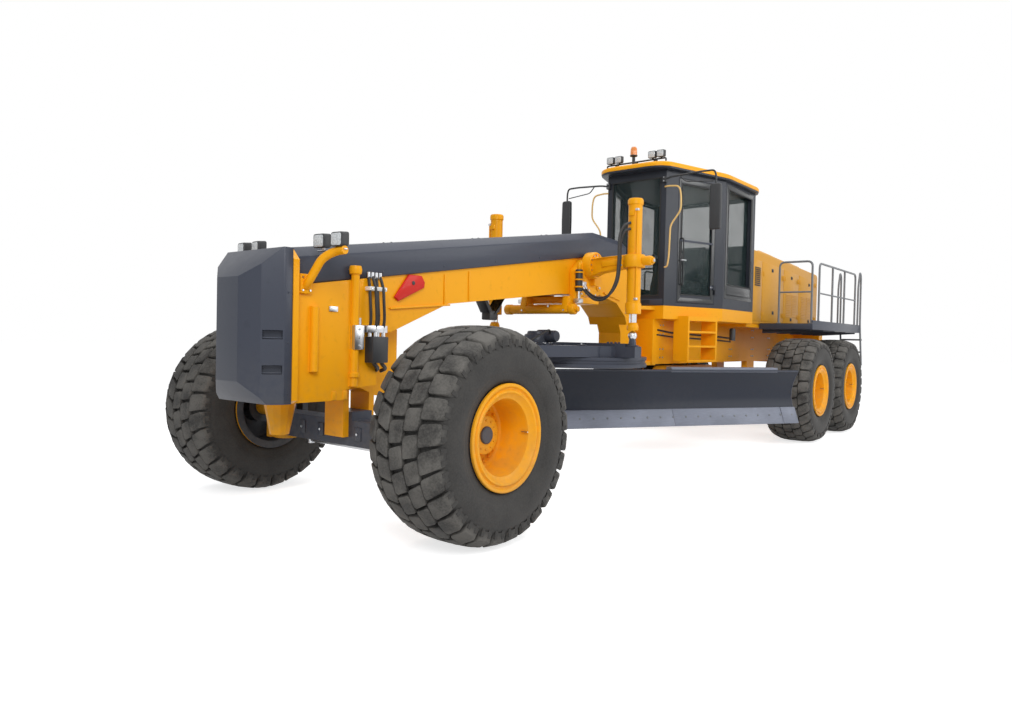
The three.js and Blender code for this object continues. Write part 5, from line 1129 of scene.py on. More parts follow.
class GRADER_OT_circle(bpy.types.Operator):
    """Builds the toothed turning circle with its blade arms, the drive box and drawbar fittings"""
    bl_idname = "grader.circle"
    bl_label = "Circle and drive"

    def execute(self, context):
        sizes = context.scene.grader_blade
        ring = Shape("toothed_circle")
        hub = at(0, CIRCLE_BACK, 0)
        inner, outer, low, top = 0.930, 1.149, 1.451, 1.5990
        ring.turned([(inner, low + 0.02), (inner + 0.02, low), (outer - 0.012, low), (outer, low + 0.012),
            (outer, low + 0.055), (outer - 0.018, low + 0.062), (outer - 0.018, top - 0.050), (outer, top - 0.042),
            (outer, top - 0.008), (outer - 0.008, top), (inner, top), (inner, low + 0.02)], hub, Z, "slate", 96)
        teeth = bmesh.new()
        for k in range(sizes.ring_teeth):
            grown = bmesh.ops.create_cube(teeth, size=1.0)["verts"]
            tips = [v for v in grown if v.co.x < 0]
            bmesh.ops.scale(teeth, vec=(1, 0.55, 1), verts=tips)
            bmesh.ops.scale(teeth, vec=(0.034, 0.046, 0.110), verts=grown)
            bmesh.ops.translate(teeth, vec=(inner - 0.014, 0, (low + top) / 2), verts=grown)
            bmesh.ops.rotate(teeth, cent=(0, 0, 0), verts=grown, matrix=Matrix.Rotation(2 * math.pi * k
                / sizes.ring_teeth, 3, "Z"))
            bmesh.ops.translate(teeth, vec=hub, verts=grown)
        ring.take(teeth, "steel")
        for end in (-1, 1):
            p = end * 0.850 - (0.110 if end > 0 else 0)
            arm = [(-0.430, 0.610), (-0.270, 0.610), (-0.270, 1.330), (-0.270, 1.500), (-0.670, 1.500),
                (-0.670, 1.430), (-0.430, 1.190)]
            ring.slab(blade_section(p, arm), blade_along() * 0.110, "slate", 0.010, 2)
            for q, z in ((-0.35, 1.20), (-0.35, 1.00)):
                ring.bolts([blade_point(end * 0.850, q, z)], blade_along() * end, 0.022, 0.004, "slate")
        ring.done("circle", "slate_paint", "circle")

        drive = Shape("circle_gearbox")
        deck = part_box("circle_drive")[0].z
        spot = at(0, 3.29, deck)
        drive.turned([(0, 0.0), (0.208, 0.0), (0.208, 0.022), (0.196, 0.030), (0.190, 0.030), (0.186, 0.130),
            (0.176, 0.142), (0.150, 0.150), (0.140, 0.184), (0.120, 0.190), (0, 0.190)], spot, Z, "slate", 40)
        drive.bolts(ring_about(spot + Z * 0.022, Z, 0.199, 12), Z, 0.008, 0.012)
        drive.turned([(0, 0.02), (0.088, 0.02), (0.090, 0.18), (0.080, 0.20), (0.080, 0.30), (0.070, 0.328),
            (0, 0.330)], spot + Z * 0.12, X, "slate", 32)
        drive.hose([spot + Vector((0.26, -0.06, 0.16)), spot + Vector((0.30, -0.16, 0.20)),
            spot + Vector((0.28, -0.30, 0.14)), spot + Vector((0.20, -0.46, 0.05))], 0.014)
        drive.done("drawbar", "slate_paint", "circle_drive")

        bar = Shape("drawbar_fittings")
        for x in (-0.98, -0.86, 0.86, 0.98):
            bar.bolts([at(x, b, deck + 0.040) for b in (3.755, 3.845)], Z, 0.018, 0.018, "slate")
        for pad in ring_about(hub + Z * deck, Z, 0.955, 12, math.radians(15)):
            bar.block(pad - Vector((0.05, 0.05, 0.004)), pad + Vector((0.05, 0.05, 0.018)), "slate", 0.006)
            bar.bolts([pad + Z * 0.018], Z, 0.014, 0.012)
        for end in (-1, 1):
            for b in (2.05, 2.75):
                bar.block(at(end * 0.128, b, deck - 0.10), at(end * 0.150, b + 0.05, deck + 0.015), "slate", 0.005)
            bar.turned([(0.050, 0), (0.085, 0), (0.085, 0.018), (0.050, 0.022)],
                at(end * 1.21, LIFT_BACK, deck + 0.002), Z, "slate", 28)
            ball = at(end * 1.21, LIFT_BACK, 1.90)
            around = [(0.0612 * math.sin(a), -0.0612 * math.cos(a)) for a in (math.pi * i / 12 for i in range(2, 12))]
            bar.turned([*around, (0, 0.0612)], ball, Z, "steel", 32)
        bar.slab(route((-0.10, 2.35, deck + 0.052), (0.10, 2.35, deck + 0.052), (0.10, 2.80, deck + 0.010),
            (-0.10, 2.80, deck + 0.010)), Z * 0.02, "slate", 0.005)
        bar.done("drawbar", "slate_paint")
        return {"FINISHED"}


BLADE_TURN = math.radians(59.2)  # of the parked blade, from straight across
BLADE_LOW, BLADE_TOP = 0.515, 1.395
BLADE_MIDDLE, BLADE_REACH = 0.772, 3.45  # along the blade, from the circle's middle
BLADE_START, BLADE_END = BLADE_MIDDLE - BLADE_REACH, BLADE_MIDDLE + BLADE_REACH
SHELL_LOW = 0.715  # foot of the curved plate, behind the cutting edge
EDGE_TOP = 0.775
END_BIT = 0.302  # length of the edge's end pieces
SHIFT_ROD_AHEAD, SHIFT_ROD_Z = -0.17, 1.01


def blade_along():
    return Vector((math.cos(BLADE_TURN), math.sin(BLADE_TURN), 0))


def blade_ahead():
    return Vector((math.sin(BLADE_TURN), -math.cos(BLADE_TURN), 0))


def blade_point(p, q, z):
    """Point p along the blade and q ahead of the circle's middle"""
    return at(0, CIRCLE_BACK, z) + blade_along() * p + blade_ahead() * q


def blade_section(p, outline):
    """Outline of (ahead, height) across the blade at p"""
    return [blade_point(p, q, z) for q, z in outline]


def blade_face(z):
    """How far ahead the blade's hollow face stands at a height"""
    share = (z - BLADE_LOW) / (BLADE_TOP - BLADE_LOW)
    return 0.150 - 0.190 * math.sin(math.pi * min(share, 1)) - 0.060 * share


class GRADER_OT_blade(bpy.types.Operator):
    """Builds the curved blade, its bolted cutting edge, end bits and back rails"""
    bl_idname = "grader.blade"
    bl_label = "Blade"

    def execute(self, context):
        sizes = context.scene.grader_blade
        along = blade_along()
        length = BLADE_END - BLADE_START
        blade = Shape("curved_moldboard")
        heights = [SHELL_LOW + (BLADE_TOP - SHELL_LOW) * i / 24 for i in range(25)]
        front = [blade_point(BLADE_START, blade_face(z), z) for z in heights]
        back = [blade_point(BLADE_START, blade_face(z) - 0.030, z) for z in heights]
        # The curved plate takes the darker blade slate, painted shade of its hollow face
        blade.slab([*front, *back[::-1]], along * length, "blade", 0.0)
        # Stiff lip along the top edge and plates at both ends
        lip = [(0.012, -0.030), (0.012, 0.0), (-0.075, 0.0), (-0.075, -0.030)]
        blade.slab([blade_point(BLADE_START + 0.02, blade_face(BLADE_TOP) + q - 0.015, BLADE_TOP + z)
            for q, z in lip], along * (length - 0.04), "slate", 0.005)
        shelf = [(-0.016, -0.040), (-0.016, 0.036), (-0.170, 0.040), (-0.170, -0.040)]
        blade.slab([blade_point(1.75, blade_face(BLADE_TOP) + q, BLADE_TOP + z) for q, z in shelf], along * 2.05,
            "edge", 0.008)
        for p in (BLADE_START - 0.001, BLADE_END - 0.015):
            plate = [blade_point(p, blade_face(z) + 0.004, z) for z in heights[::4]]
            plate += [blade_point(p, blade_face(z) - 0.075, z) for z in heights[::-4]]
            blade.slab(plate, along * 0.016, "slate", 0.004)
        for z in (0.720, 1.190):
            face = blade_face(z) - 0.030
            corners = [(face - 0.075, z - 0.040), (face + 0.004, z - 0.040), (face + 0.004, z + 0.040),
                (face - 0.075, z + 0.040)]
            blade.slab([blade_point(BLADE_MIDDLE - 1.85, q, h) for q, h in corners], along * 3.70, "steel", 0.006)
        for k in range(9):
            p = BLADE_START + 0.5 + k * (length - 1.0) / 8
            rib = [(blade_face(z) - 0.026, z) for z in heights[4:22:3]]
            rib = rib + [(blade_face(rib[-1][1]) - 0.085, rib[-1][1]), (blade_face(rib[0][1]) - 0.085, rib[0][1])]
            if abs(p - BLADE_MIDDLE) > 1.95:
                blade.slab(blade_section(p, rib), along * 0.020, "slate", 0.004)
        lug = BLADE_MIDDLE + 1.35
        blade.slab(blade_section(lug, ((-0.230, 0.94), (blade_face(1.01) - 0.02, 0.94),
            (blade_face(1.01) - 0.02, 1.08), (-0.230, 1.08))), along * 0.070, "slate", 0.012)
        for p0, p1, radius, key, sides in ((-0.12, lug + 0.02, 0.0338, "chrome", 28),
                                           (lug + 0.06, lug + 0.10, 0.045, "steel", 6)):
            blade.rod(blade_point(p0, SHIFT_ROD_AHEAD, SHIFT_ROD_Z), blade_point(p1, SHIFT_ROD_AHEAD, SHIFT_ROD_Z),
                radius, key, sides=sides)
        blade.done("blade", "slate_paint", "moldboard")

        edge = Shape("bolted_cutting_edge")
        top, lap = blade_face(EDGE_TOP) + 0.0006, blade_face(EDGE_TOP - 0.06) + 0.0006
        low = lap + (lap - top) * (EDGE_TOP - 0.06 - BLADE_LOW) / 0.06
        sections = 3
        for k in range(sections):
            p0 = BLADE_START + 0.305 + k * (length - 0.61) / sections
            outline = [(low, BLADE_LOW), (low + 0.010, BLADE_LOW), (top + 0.030, EDGE_TOP - 0.01),
                (top + 0.024, EDGE_TOP), (top, EDGE_TOP)]
            edge.slab(blade_section(p0 + 0.002, outline), along * ((length - 0.61) / sections - 0.004), "edge", 0.003)
        for p0 in (BLADE_START, BLADE_END - END_BIT):
            outline = [(low, BLADE_LOW), (low + 0.012, BLADE_LOW), (top + 0.032, EDGE_TOP), (top, EDGE_TOP)]
            edge.slab(blade_section(p0, outline), along * END_BIT, "edge", 0.004)
        facing = (blade_ahead() * (EDGE_TOP - BLADE_LOW) + Z * (low - top)).normalized()
        middle_z = (EDGE_TOP + BLADE_LOW) / 2 + 0.01
        share = (middle_z - BLADE_LOW) / (EDGE_TOP - BLADE_LOW)
        q = (low + 0.011) * (1 - share) + (top + 0.031) * share
        for k in range(sizes.edge_bolts):
            p = BLADE_START + 0.10 + k * (length - 0.20) / (sizes.edge_bolts - 1)
            head = blade_point(p, q, middle_z)
            edge.rod(head - facing * 0.006, head + facing * 0.002, 0.016, "grey", sides=14, soft=0.001)
        edge.done("blade", "edge_steel", "cutting_edge")
        return {"FINISHED"}


# ---------------------------------------------------------------- cab
CAB_FRONT, CAB_SIDE_START, CAB_BACK = 6.0, 7.35, 8.80
CAB_HALF, CAB_FRONT_HALF = 1.0, 0.55
CAB_FLOOR, CAB_TOP = 2.42, 4.64


def slant(share, out, z):
    """Point on the left slanted side, out from its surface"""
    run = Vector((CAB_HALF - CAB_FRONT_HALF, CAB_SIDE_START - CAB_FRONT, 0))
    facing = Vector((run.y, -run.x, 0)).normalized()
    return at(CAB_FRONT_HALF, CAB_FRONT, z) + run * share + facing * out


def panel_frame(shape, corners, facing, width, depth, key, soft=0.003):
    """A flat mitred frame just inside four square corners, such as a window seal"""
    centre = sum(corners, Vector()) / len(corners)
    inward = []
    for corner, after in zip(corners, [*corners[1:], corners[0]]):
        run = (after - corner).normalized()
        into = (centre - corner) - run * (centre - corner).dot(run)
        inward.append((into - facing * into.dot(facing)).normalized())
    inner = [corner + (inward[i - 1] + inward[i]) * width for i, corner in enumerate(corners)]
    for i, corner in enumerate(corners):
        j = (i + 1) % len(corners)
        shape.slab([corner, corners[j], inner[j], inner[i]], facing * depth, key, soft)


class GRADER_OT_cab(bpy.types.Operator):
    """Adds seals, handles, wipers, handrails and the base band to the cab"""
    bl_idname = "grader.cab"
    bl_label = "Cab fittings"

    def execute(self, context):
        trim = Shape("cab_trim")
        front = abreast(CAB_FRONT + 0.002, (-0.46, 2.58), (0.46, 2.58), (0.46, 4.53), (-0.46, 4.53))
        panel_frame(trim, front, -Y, 0.020, 0.010, "seal")
        back = [at(x, CAB_BACK - 0.002, z) for x, z in ((-0.81, 3.67), (0.81, 3.67), (0.81, 4.53), (-0.81, 4.53))]
        panel_frame(trim, back, Y, 0.020, 0.008, "seal")
        for end in (-1, 1):
            side = [at(end * (CAB_HALF - 0.002), b, z) for b, z in ((7.50, 2.84), (8.60, 2.84), (8.60, 4.53),
                (7.50, 4.53))]
            panel_frame(trim, side, X * end, 0.022, 0.008, "seal")
            border = [at(end * (CAB_HALF + 0.0005), b, z) for b, z in ((7.41, 2.60), (8.70, 2.60), (8.70, 4.60),
                (7.41, 4.60))]
            panel_frame(trim, border, X * end, 0.088, 0.004, "frit")
            trim.block(at(end * (CAB_HALF + 0.0005), 7.45, 2.66), at(end * (CAB_HALF + 0.0045), 8.66, 2.835), "frit",
                0.001)
        # Lower band and vents
        trim.block(at(-CAB_FRONT_HALF + 0.02, CAB_FRONT - 0.012, 2.425),
            at(CAB_FRONT_HALF - 0.02, CAB_FRONT + 0.02, 2.53), "slate", 0.006)
        for i in range(7):
            z = 2.455 + 0.010 * i
            trim.block(at(-0.30, CAB_FRONT - 0.016, z), at(0.30, CAB_FRONT - 0.010, z + 0.004), "seal", 0.001)
        # Wiper on the windscreen
        trim.rod(at(0.10, CAB_FRONT - 0.004, 2.62), at(0.10, CAB_FRONT - 0.030, 2.62), 0.018, "plastic", sides=16)
        trim.pipe([at(0.10, CAB_FRONT - 0.026, 2.62), at(-0.02, CAB_FRONT - 0.026, 3.00),
            at(-0.06, CAB_FRONT - 0.012, 3.18)], 0.007, "plastic", 0.04)
        trim.block(at(-0.072, CAB_FRONT - 0.016, 2.98), at(-0.056, CAB_FRONT + 0.016, 3.62), "seal", 0.003)
        # Sleeve lamp behind the step
        trim.turned([(0, 0), (0.055, 0), (0.055, 0.20), (0.040, 0.225), (0, 0.23)], at(0.84, 8.24, 1.87), Z,
            "plastic", 24)
        for end in (-1, 1):
            trim.pipe(route((end * 0.535, 5.985, 4.36), (end * 0.60, 5.955, 4.36), (end * 0.80, 5.955, 4.34),
                (end * 0.835, 5.955, 4.20), (end * 0.84, 5.955, 3.95), (end * 0.66, 5.955, 3.72),
                (end * 0.64, 5.965, 3.20), (end * 0.60, 5.99, 3.05), (end * 0.52, 6.02, 3.05)), 0.014, "pale", 0.08)
        trim.done("rear", "slate_paint")
        for side, end in SIDES:
            leaf = Shape(f"{side}_door_fittings")
            rows = ((0.2 + 0.06, 2.61), (0.84 - 0.06, 2.61), (0.84 - 0.06, 4.455), (0.2 + 0.06, 4.455))
            corners = [slant(s, 0.001, z) for s, z in rows]
            facing = (slant(0.5, 1, 0) - slant(0.5, 0, 0)).normalized()
            panel_frame(leaf, corners, facing, 0.016, 0.007, "seal")
            border = [slant(s, 0.0005, z) for s, z in ((0.212, 2.50), (0.828, 2.50), (0.828, 4.53), (0.212, 4.53))]
            panel_frame(leaf, border, facing, 0.070, 0.004, "frit")
            across = (slant(1, 0, 0) - slant(0, 0, 0)).normalized()
            grip = slant(0.245, 0.004, 3.16)
            leaf.slab([grip - across * 0.02, grip + across * 0.06, grip + across * 0.06 + Z * 0.12,
                grip - across * 0.02 + Z * 0.12], facing * 0.012, "plastic", 0.004)
            leaf.pipe([grip + Z * 0.03 + facing * 0.01, grip + Z * 0.03 + facing * 0.045,
                grip + Z * 0.03 + facing * 0.045 + across * 0.10], 0.009, "steel", 0.02)
            leaf.pipe([slant(0.27, 0.002, 2.78), slant(0.27, 0.045, 2.78), slant(0.27, 0.045, 3.55),
                slant(0.27, 0.002, 3.55)], 0.012, "plastic", 0.04)
            leaf.slab([slant(0.24, 0.001, 3.50), slant(0.80, 0.001, 3.50), slant(0.80, 0.001, 3.535),
                slant(0.24, 0.001, 3.535)], facing * 0.008, "slate", 0.003)
            for z in (2.73, 4.20):
                leaf.slab([slant(0.76, 0.002, z + 0.012), slant(0.835, 0.002, z + 0.012),
                    slant(0.835, 0.002, z + 0.072), slant(0.76, 0.002, z + 0.072)], facing * 0.008, "slate", 0.003)
                leaf.bolts([slant(s, 0.010, z + 0.042) for s in (0.775, 0.80, 0.825)], facing, 0.008, 0.005)
            if end < 0:
                bmesh.ops.scale(leaf.whole, vec=(-1, 1, 1), verts=leaf.whole.verts)
                bmesh.ops.reverse_faces(leaf.whole, faces=leaf.whole.faces)
            leaf.done(f"{side}_door", "slate_paint")
        return {"FINISHED"}


class GRADER_OT_roof(bpy.types.Operator):
    """Builds the crowned roof with its rounded rim, lamps and beacon"""
    bl_idname = "grader.roof"
    bl_label = "Roof and lamps"

    def execute(self, context):
        low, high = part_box("cab_roof")
        half = rounded([Vector((x, back, 0)) for x, back in ((0, 5.742), (0.43, 5.742), (0.64, 5.872), (1.078, 7.33),
            (1.108, 8.70), (1.0, 8.926), (0, 8.926))], 0.14, 5)
        outline = [*half, *[Vector((-p.x, p.y, 0)) for p in reversed(half[1:-1])]]
        centre = Vector((0, 7.33, 0))

        def ring(rise, inset):
            return [at(0, 0, low.z + rise) + centre + (p - centre) * (1 - inset) for p in outline]

        roof = Shape("roof_crown")
        roof.loft([ring(*step) for step in ((0.001, 0.075), (0.001, 0.016), (0.006, 0.008), (0.034, 0.004))], "cab")
        roof.loft([ring(*step) for step in ((0.030, 0.012), (0.034, 0.001), (0.078, 0.001), (0.100, 0.010),
            (0.114, 0.030), (0.123, 0.080), (0.128, 0.22), (0.1305, 0.50), (0.1315, 0.85))], "yellow")
        for x in (-0.62, 0.62):
            roof.block(at(x - 0.03, 6.60, high.z - 0.030), at(x + 0.03, 8.50, high.z - 0.003), "yellow", 0.012)
        roof.block(at(-0.42, 7.25, high.z - 0.030), at(0.42, 8.25, high.z - 0.001), "yellow", 0.016, 3)
        roof.done("rear", "yellow_paint", "cab_roof", angle=50)

        lamps = Shape("roof_lamp_set")
        top = high.z
        lamps.pipe(abreast(5.96, (-0.55, top + 0.001), (-0.55, top + 0.05), (0.55, top + 0.05), (0.55, top + 0.001)),
            0.014, "plastic", 0.03)
        for x in (-0.36, 0.0, 0.36):
            lamps.block(at(x - 0.03, 5.945, top - 0.03), at(x + 0.03, 5.985, top + 0.045), "plastic", 0.004)
        for x in (-0.470, -0.315, 0.315, 0.470):
            lamps.block(at(x - 0.012, 5.95, top + 0.045), at(x + 0.012, 5.97, top + 0.085), "plastic", 0.002)
            work_lamp(lamps, at(x, 5.945, top + 0.127), Vector((0.05, -1, -0.12)), 0.118)
        spot = at(-0.23, 6.29, 0)
        lamps.turned([(0, top - 0.03), (0.062, top - 0.03), (0.062, top + 0.012), (0.030, top + 0.020),
            (0.026, top + 0.235), (0.062, top + 0.245), (0.066, top + 0.262), (0, top + 0.262)], spot, Z, "plastic",
            28)
        lamps.turned([(0, top + 0.262), (0.058, top + 0.262), (0.060, top + 0.30), (0.056, top + 0.372),
            (0.040, top + 0.405), (0.0, top + 0.416)], spot, Z, "amber", 28)
        lamps.done("rear", "black_plastic", "roof_lamps")
        return {"FINISHED"}


class GRADER_OT_mirrors(bpy.types.Operator):
    """Builds the door mirrors on their bent arms"""
    bl_idname = "grader.mirrors"
    bl_label = "Mirrors"

    def execute(self, context):
        mirror = Shape("left_mirror_set")
        mirror.pipe(route((0.545, 5.978, 4.48), (0.66, 5.95, 4.50), (1.16, 5.975, 4.53), (1.37, 5.995, 4.53),
            (1.398, 5.998, 4.44), (1.398, 5.998, 4.28)), 0.015, "plastic", 0.08, 3)
        mirror.pipe([at(0.80, 5.955, 4.505), at(0.90, 5.965, 4.40), at(1.36, 5.995, 4.36)], 0.009, "plastic", 0.05)
        mirror.block(at(0.49, 5.952, 4.43), at(0.56, 5.9995, 4.53), "plastic", 0.006)
        mirror.bolts([at(0.525, 5.952, z) for z in (4.45, 4.51)], -Y, 0.009, 0.007)
        mirror.slab(abreast(5.965, (1.31, 3.60), (1.49, 3.60), (1.495, 3.98), (1.49, 4.295), (1.46, 4.318),
            (1.34, 4.318), (1.31, 4.295), (1.305, 3.98)), Y * 0.065, "plastic", 0.022, 4)
        for z0, z1 in ((3.64, 3.80), (3.83, 4.27)):
            mirror.slab(abreast(6.029, (1.325, z0), (1.475, z0), (1.475, z1), (1.325, z1)), Y * 0.004, "mirror", 0.0)
        left = mirror.done("rear", "black_plastic", "left_mirror")
        flipped(left, "right_mirror_set", "rear", "black_plastic", "right_mirror")
        return {"FINISHED"}


def press_channels(part, lines):
    """Pulls a cushion's upper skin in along sewn lines; each is (axis, place)"""
    for vert in part.verts:
        for axis, place in lines:
            gap = (vert.co[axis] - place) / SEAM_WIDTH
            vert.co -= vert.normal * SEAM_DEPTH * math.exp(-gap * gap)


CLOTH_STEPS = 20
MOST_SWELL = 0.022  # how far the cloth may stand out from the block
SEAM_DEPTH, SEAM_WIDTH = 0.011, 0.012


def make_cushion(name, low, high, lines, tilt=0.0):
    """A stuffed cushion, blown up by a cloth simulation from a slightly smaller block"""
    low, high = Vector(low), Vector(high)
    centre, size = (low + high) / 2, high - low
    part = bmesh.new()
    bmesh.ops.create_cube(part, size=1.0)
    bmesh.ops.scale(part, vec=size * 0.94, verts=part.verts)
    soften(part, min(size) * 0.34, 4)
    mesh = bpy.data.meshes.new(name)
    part.to_mesh(mesh)
    part.free()
    made = bpy.data.objects.new(name, mesh)
    bpy.context.scene.collection.objects.link(made)
    remesh = made.modifiers.new("remesh", "REMESH")
    remesh.mode = "VOXEL"
    remesh.voxel_size = 0.006
    settle(made)
    start = [v.co.copy() for v in made.data.vertices]
    cloth = made.modifiers.new("cloth", "CLOTH")
    cloth.settings.use_pressure = True
    cloth.settings.uniform_pressure_force = 4
    cloth.settings.effector_weights.gravity = 0
    scene = bpy.context.scene
    cloth.point_cache.frame_start, cloth.point_cache.frame_end = 1, CLOTH_STEPS
    for step in range(1, CLOTH_STEPS + 1):
        scene.frame_set(step)
    settle(made)
    scene.frame_set(1)
    for vert, was in zip(made.data.vertices, start):
        move = vert.co - was
        if move.length > MOST_SWELL:
            vert.co = was + move * (MOST_SWELL / move.length)
    part = bmesh.new()
    part.from_mesh(made.data)
    part.normal_update()
    press_channels(part, lines)
    for vert in part.verts:
        for axis in range(3):
            vert.co[axis] = max(-size[axis] / 2, min(size[axis] / 2, vert.co[axis]))
    for _ in range(3):
        bmesh.ops.smooth_vert(part, verts=part.verts, factor=0.4, use_axis_x=True, use_axis_y=True, use_axis_z=True)
    bmesh.ops.rotate(part, cent=(0, 0, 0), matrix=Matrix.Rotation(tilt, 3, "X"), verts=part.verts)
    bmesh.ops.translate(part, vec=centre, verts=part.verts)
    for face in part.faces:
        face.smooth = True
    part.to_mesh(made.data)
    part.free()
    made.data.materials.append(finish("cloth"))
    return made


def settle(made):
    """Applies every modifier of an object to its mesh"""
    graph = bpy.context.evaluated_depsgraph_get()
    mesh = bpy.data.meshes.new_from_object(made.evaluated_get(graph))
    old = made.data
    made.modifiers.clear()
    made.data = mesh
    bpy.data.meshes.remove(old)


class GRADER_OT_seat(bpy.types.Operator):
    """Builds the driver's seat with its stuffed cushion and backrest"""
    bl_idname = "grader.seat"
    bl_label = "Driver's seat"

    def execute(self, context):
        base = Shape("seat_base")
        base.block(at(-0.20, 7.72, 2.475), at(0.20, 8.16, 2.53), "plastic", 0.010)
        for i in range(5):
            base.block(at(-0.17 + 0.006 * i, 7.76, 2.54 + 0.042 * i), at(0.17 - 0.006 * i, 8.12, 2.572 + 0.042 * i),
                "seal", 0.014, 3)
        base.block(at(-0.25, 7.66, 2.755), at(0.25, 8.18, 2.825), "plastic", 0.025, 3)
        base.slab(beside(-0.225, (8.20, 2.86), (8.29, 2.84), (8.395, 3.64), (8.34, 3.66)), X * 0.45, "plastic", 0.020,
            3)
        for end in (-1, 1):
            base.block(at(min(end * 0.28, end * 0.37), 7.72, 3.005), at(max(end * 0.28, end * 0.37), 8.12, 3.075),
                "seal", 0.028, 4)
            base.pipe([at(end * 0.25, 8.25, 2.93), at(end * 0.325, 8.20, 2.93), at(end * 0.325, 8.02, 3.02)], 0.016,
                "plastic", 0.04)
            base.pipe(beside(end * 0.325, (7.78, 3.07), (7.76, 3.16), (7.74, 3.18)), 0.012, "plastic", 0.02)
            base.rod(at(end * 0.325, 7.74, 3.15), at(end * 0.325, 7.73, 3.21), 0.022, "seal", sides=16, soft=0.008)
        base.done("rear", "black_plastic", "seat")
        seat = make_cushion("seat_cushion", at(-0.26, 7.62, 2.818), at(0.26, 8.20, 2.962),
            [(0, -0.145), (0, 0.145), (1, 0.10)])
        back = make_cushion("seat_backrest", at(-0.24, 8.185, 2.93), at(0.24, 8.315, 3.66),
            [(0, -0.135), (0, 0.135), (2, -0.12), (2, 0.16)], tilt=-0.12)
        for cushion in (seat, back):
            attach(cushion, "rear")
        return {"FINISHED"}


class GRADER_OT_console(bpy.types.Operator):
    """Builds the steering console with its lever banks and wheel"""
    bl_idname = "grader.console"
    bl_label = "Steering console"

    def execute(self, context):
        desk = Shape("console_set")
        desk.slab(beside(-0.108, (6.71, 2.475), (7.08, 2.475), (7.14, 3.24), (6.95, 3.27), (6.76, 2.80)), X * 0.216,
            "plastic", 0.02, 3)
        desk.slab(beside(-0.235, (6.985, 3.205), (7.12, 3.205), (7.135, 3.26), (7.04, 3.315), (6.985, 3.30)),
            X * 0.47, "plastic", 0.018, 3)
        for x in (-0.13, 0.0, 0.13):
            desk.rod(at(x, 7.085, 3.280), at(x, 7.093, 3.294), 0.036, "glass", sides=24)
        for end in (-1, 1):
            for k in range(4):
                x = end * (0.13 + 0.028 * k)
                desk.pipe(beside(x, (7.06, 3.29), (7.05, 3.40 - 0.006 * k)), 0.005, "steel", 0)
                desk.rod(at(x, 7.052, 3.385 - 0.006 * k), at(x, 7.048, 3.425 - 0.006 * k), 0.011, "seal", sides=12,
                    soft=0.004)
        hub = at(0, 7.197, 3.367)
        axis = Vector((0, 0.55, 0.83)).normalized()
        ring = [(0.185 + 0.013 * math.cos(a), 0.013 * math.sin(a)) for a in (math.pi / 5 * i for i in range(10))]
        desk.turned([*ring, ring[0]], hub, axis, "seal", 40)
        desk.turned([(0, -0.06), (0.030, -0.06), (0.045, -0.010), (0.040, 0.012), (0, 0.016)], hub, axis, "plastic",
            24)
        out = axis.orthogonal().normalized()
        for k in range(3):
            arm = Matrix.Rotation(math.tau * k / 3 + 0.5, 3, axis) @ out
            desk.pipe([hub + arm * 0.03, hub + arm * 0.187], 0.009, "plastic", 0)
        desk.pipe([hub - axis * 0.15, hub - axis * 0.03], 0.020, "plastic", 0)
        desk.done("rear", "black_plastic", "steering_console")
        return {"FINISHED"}


# ---------------------------------------------------------------- engine end
HOOD_HALF, HOOD_START, HOOD_END = 0.900, 8.95, 13.30


def hood_edge(back):
    """Height of the hood's side edge, level at first and falling towards the rear"""
    return 3.52 - max(0, back - 9.7) * 0.044 - 0.06


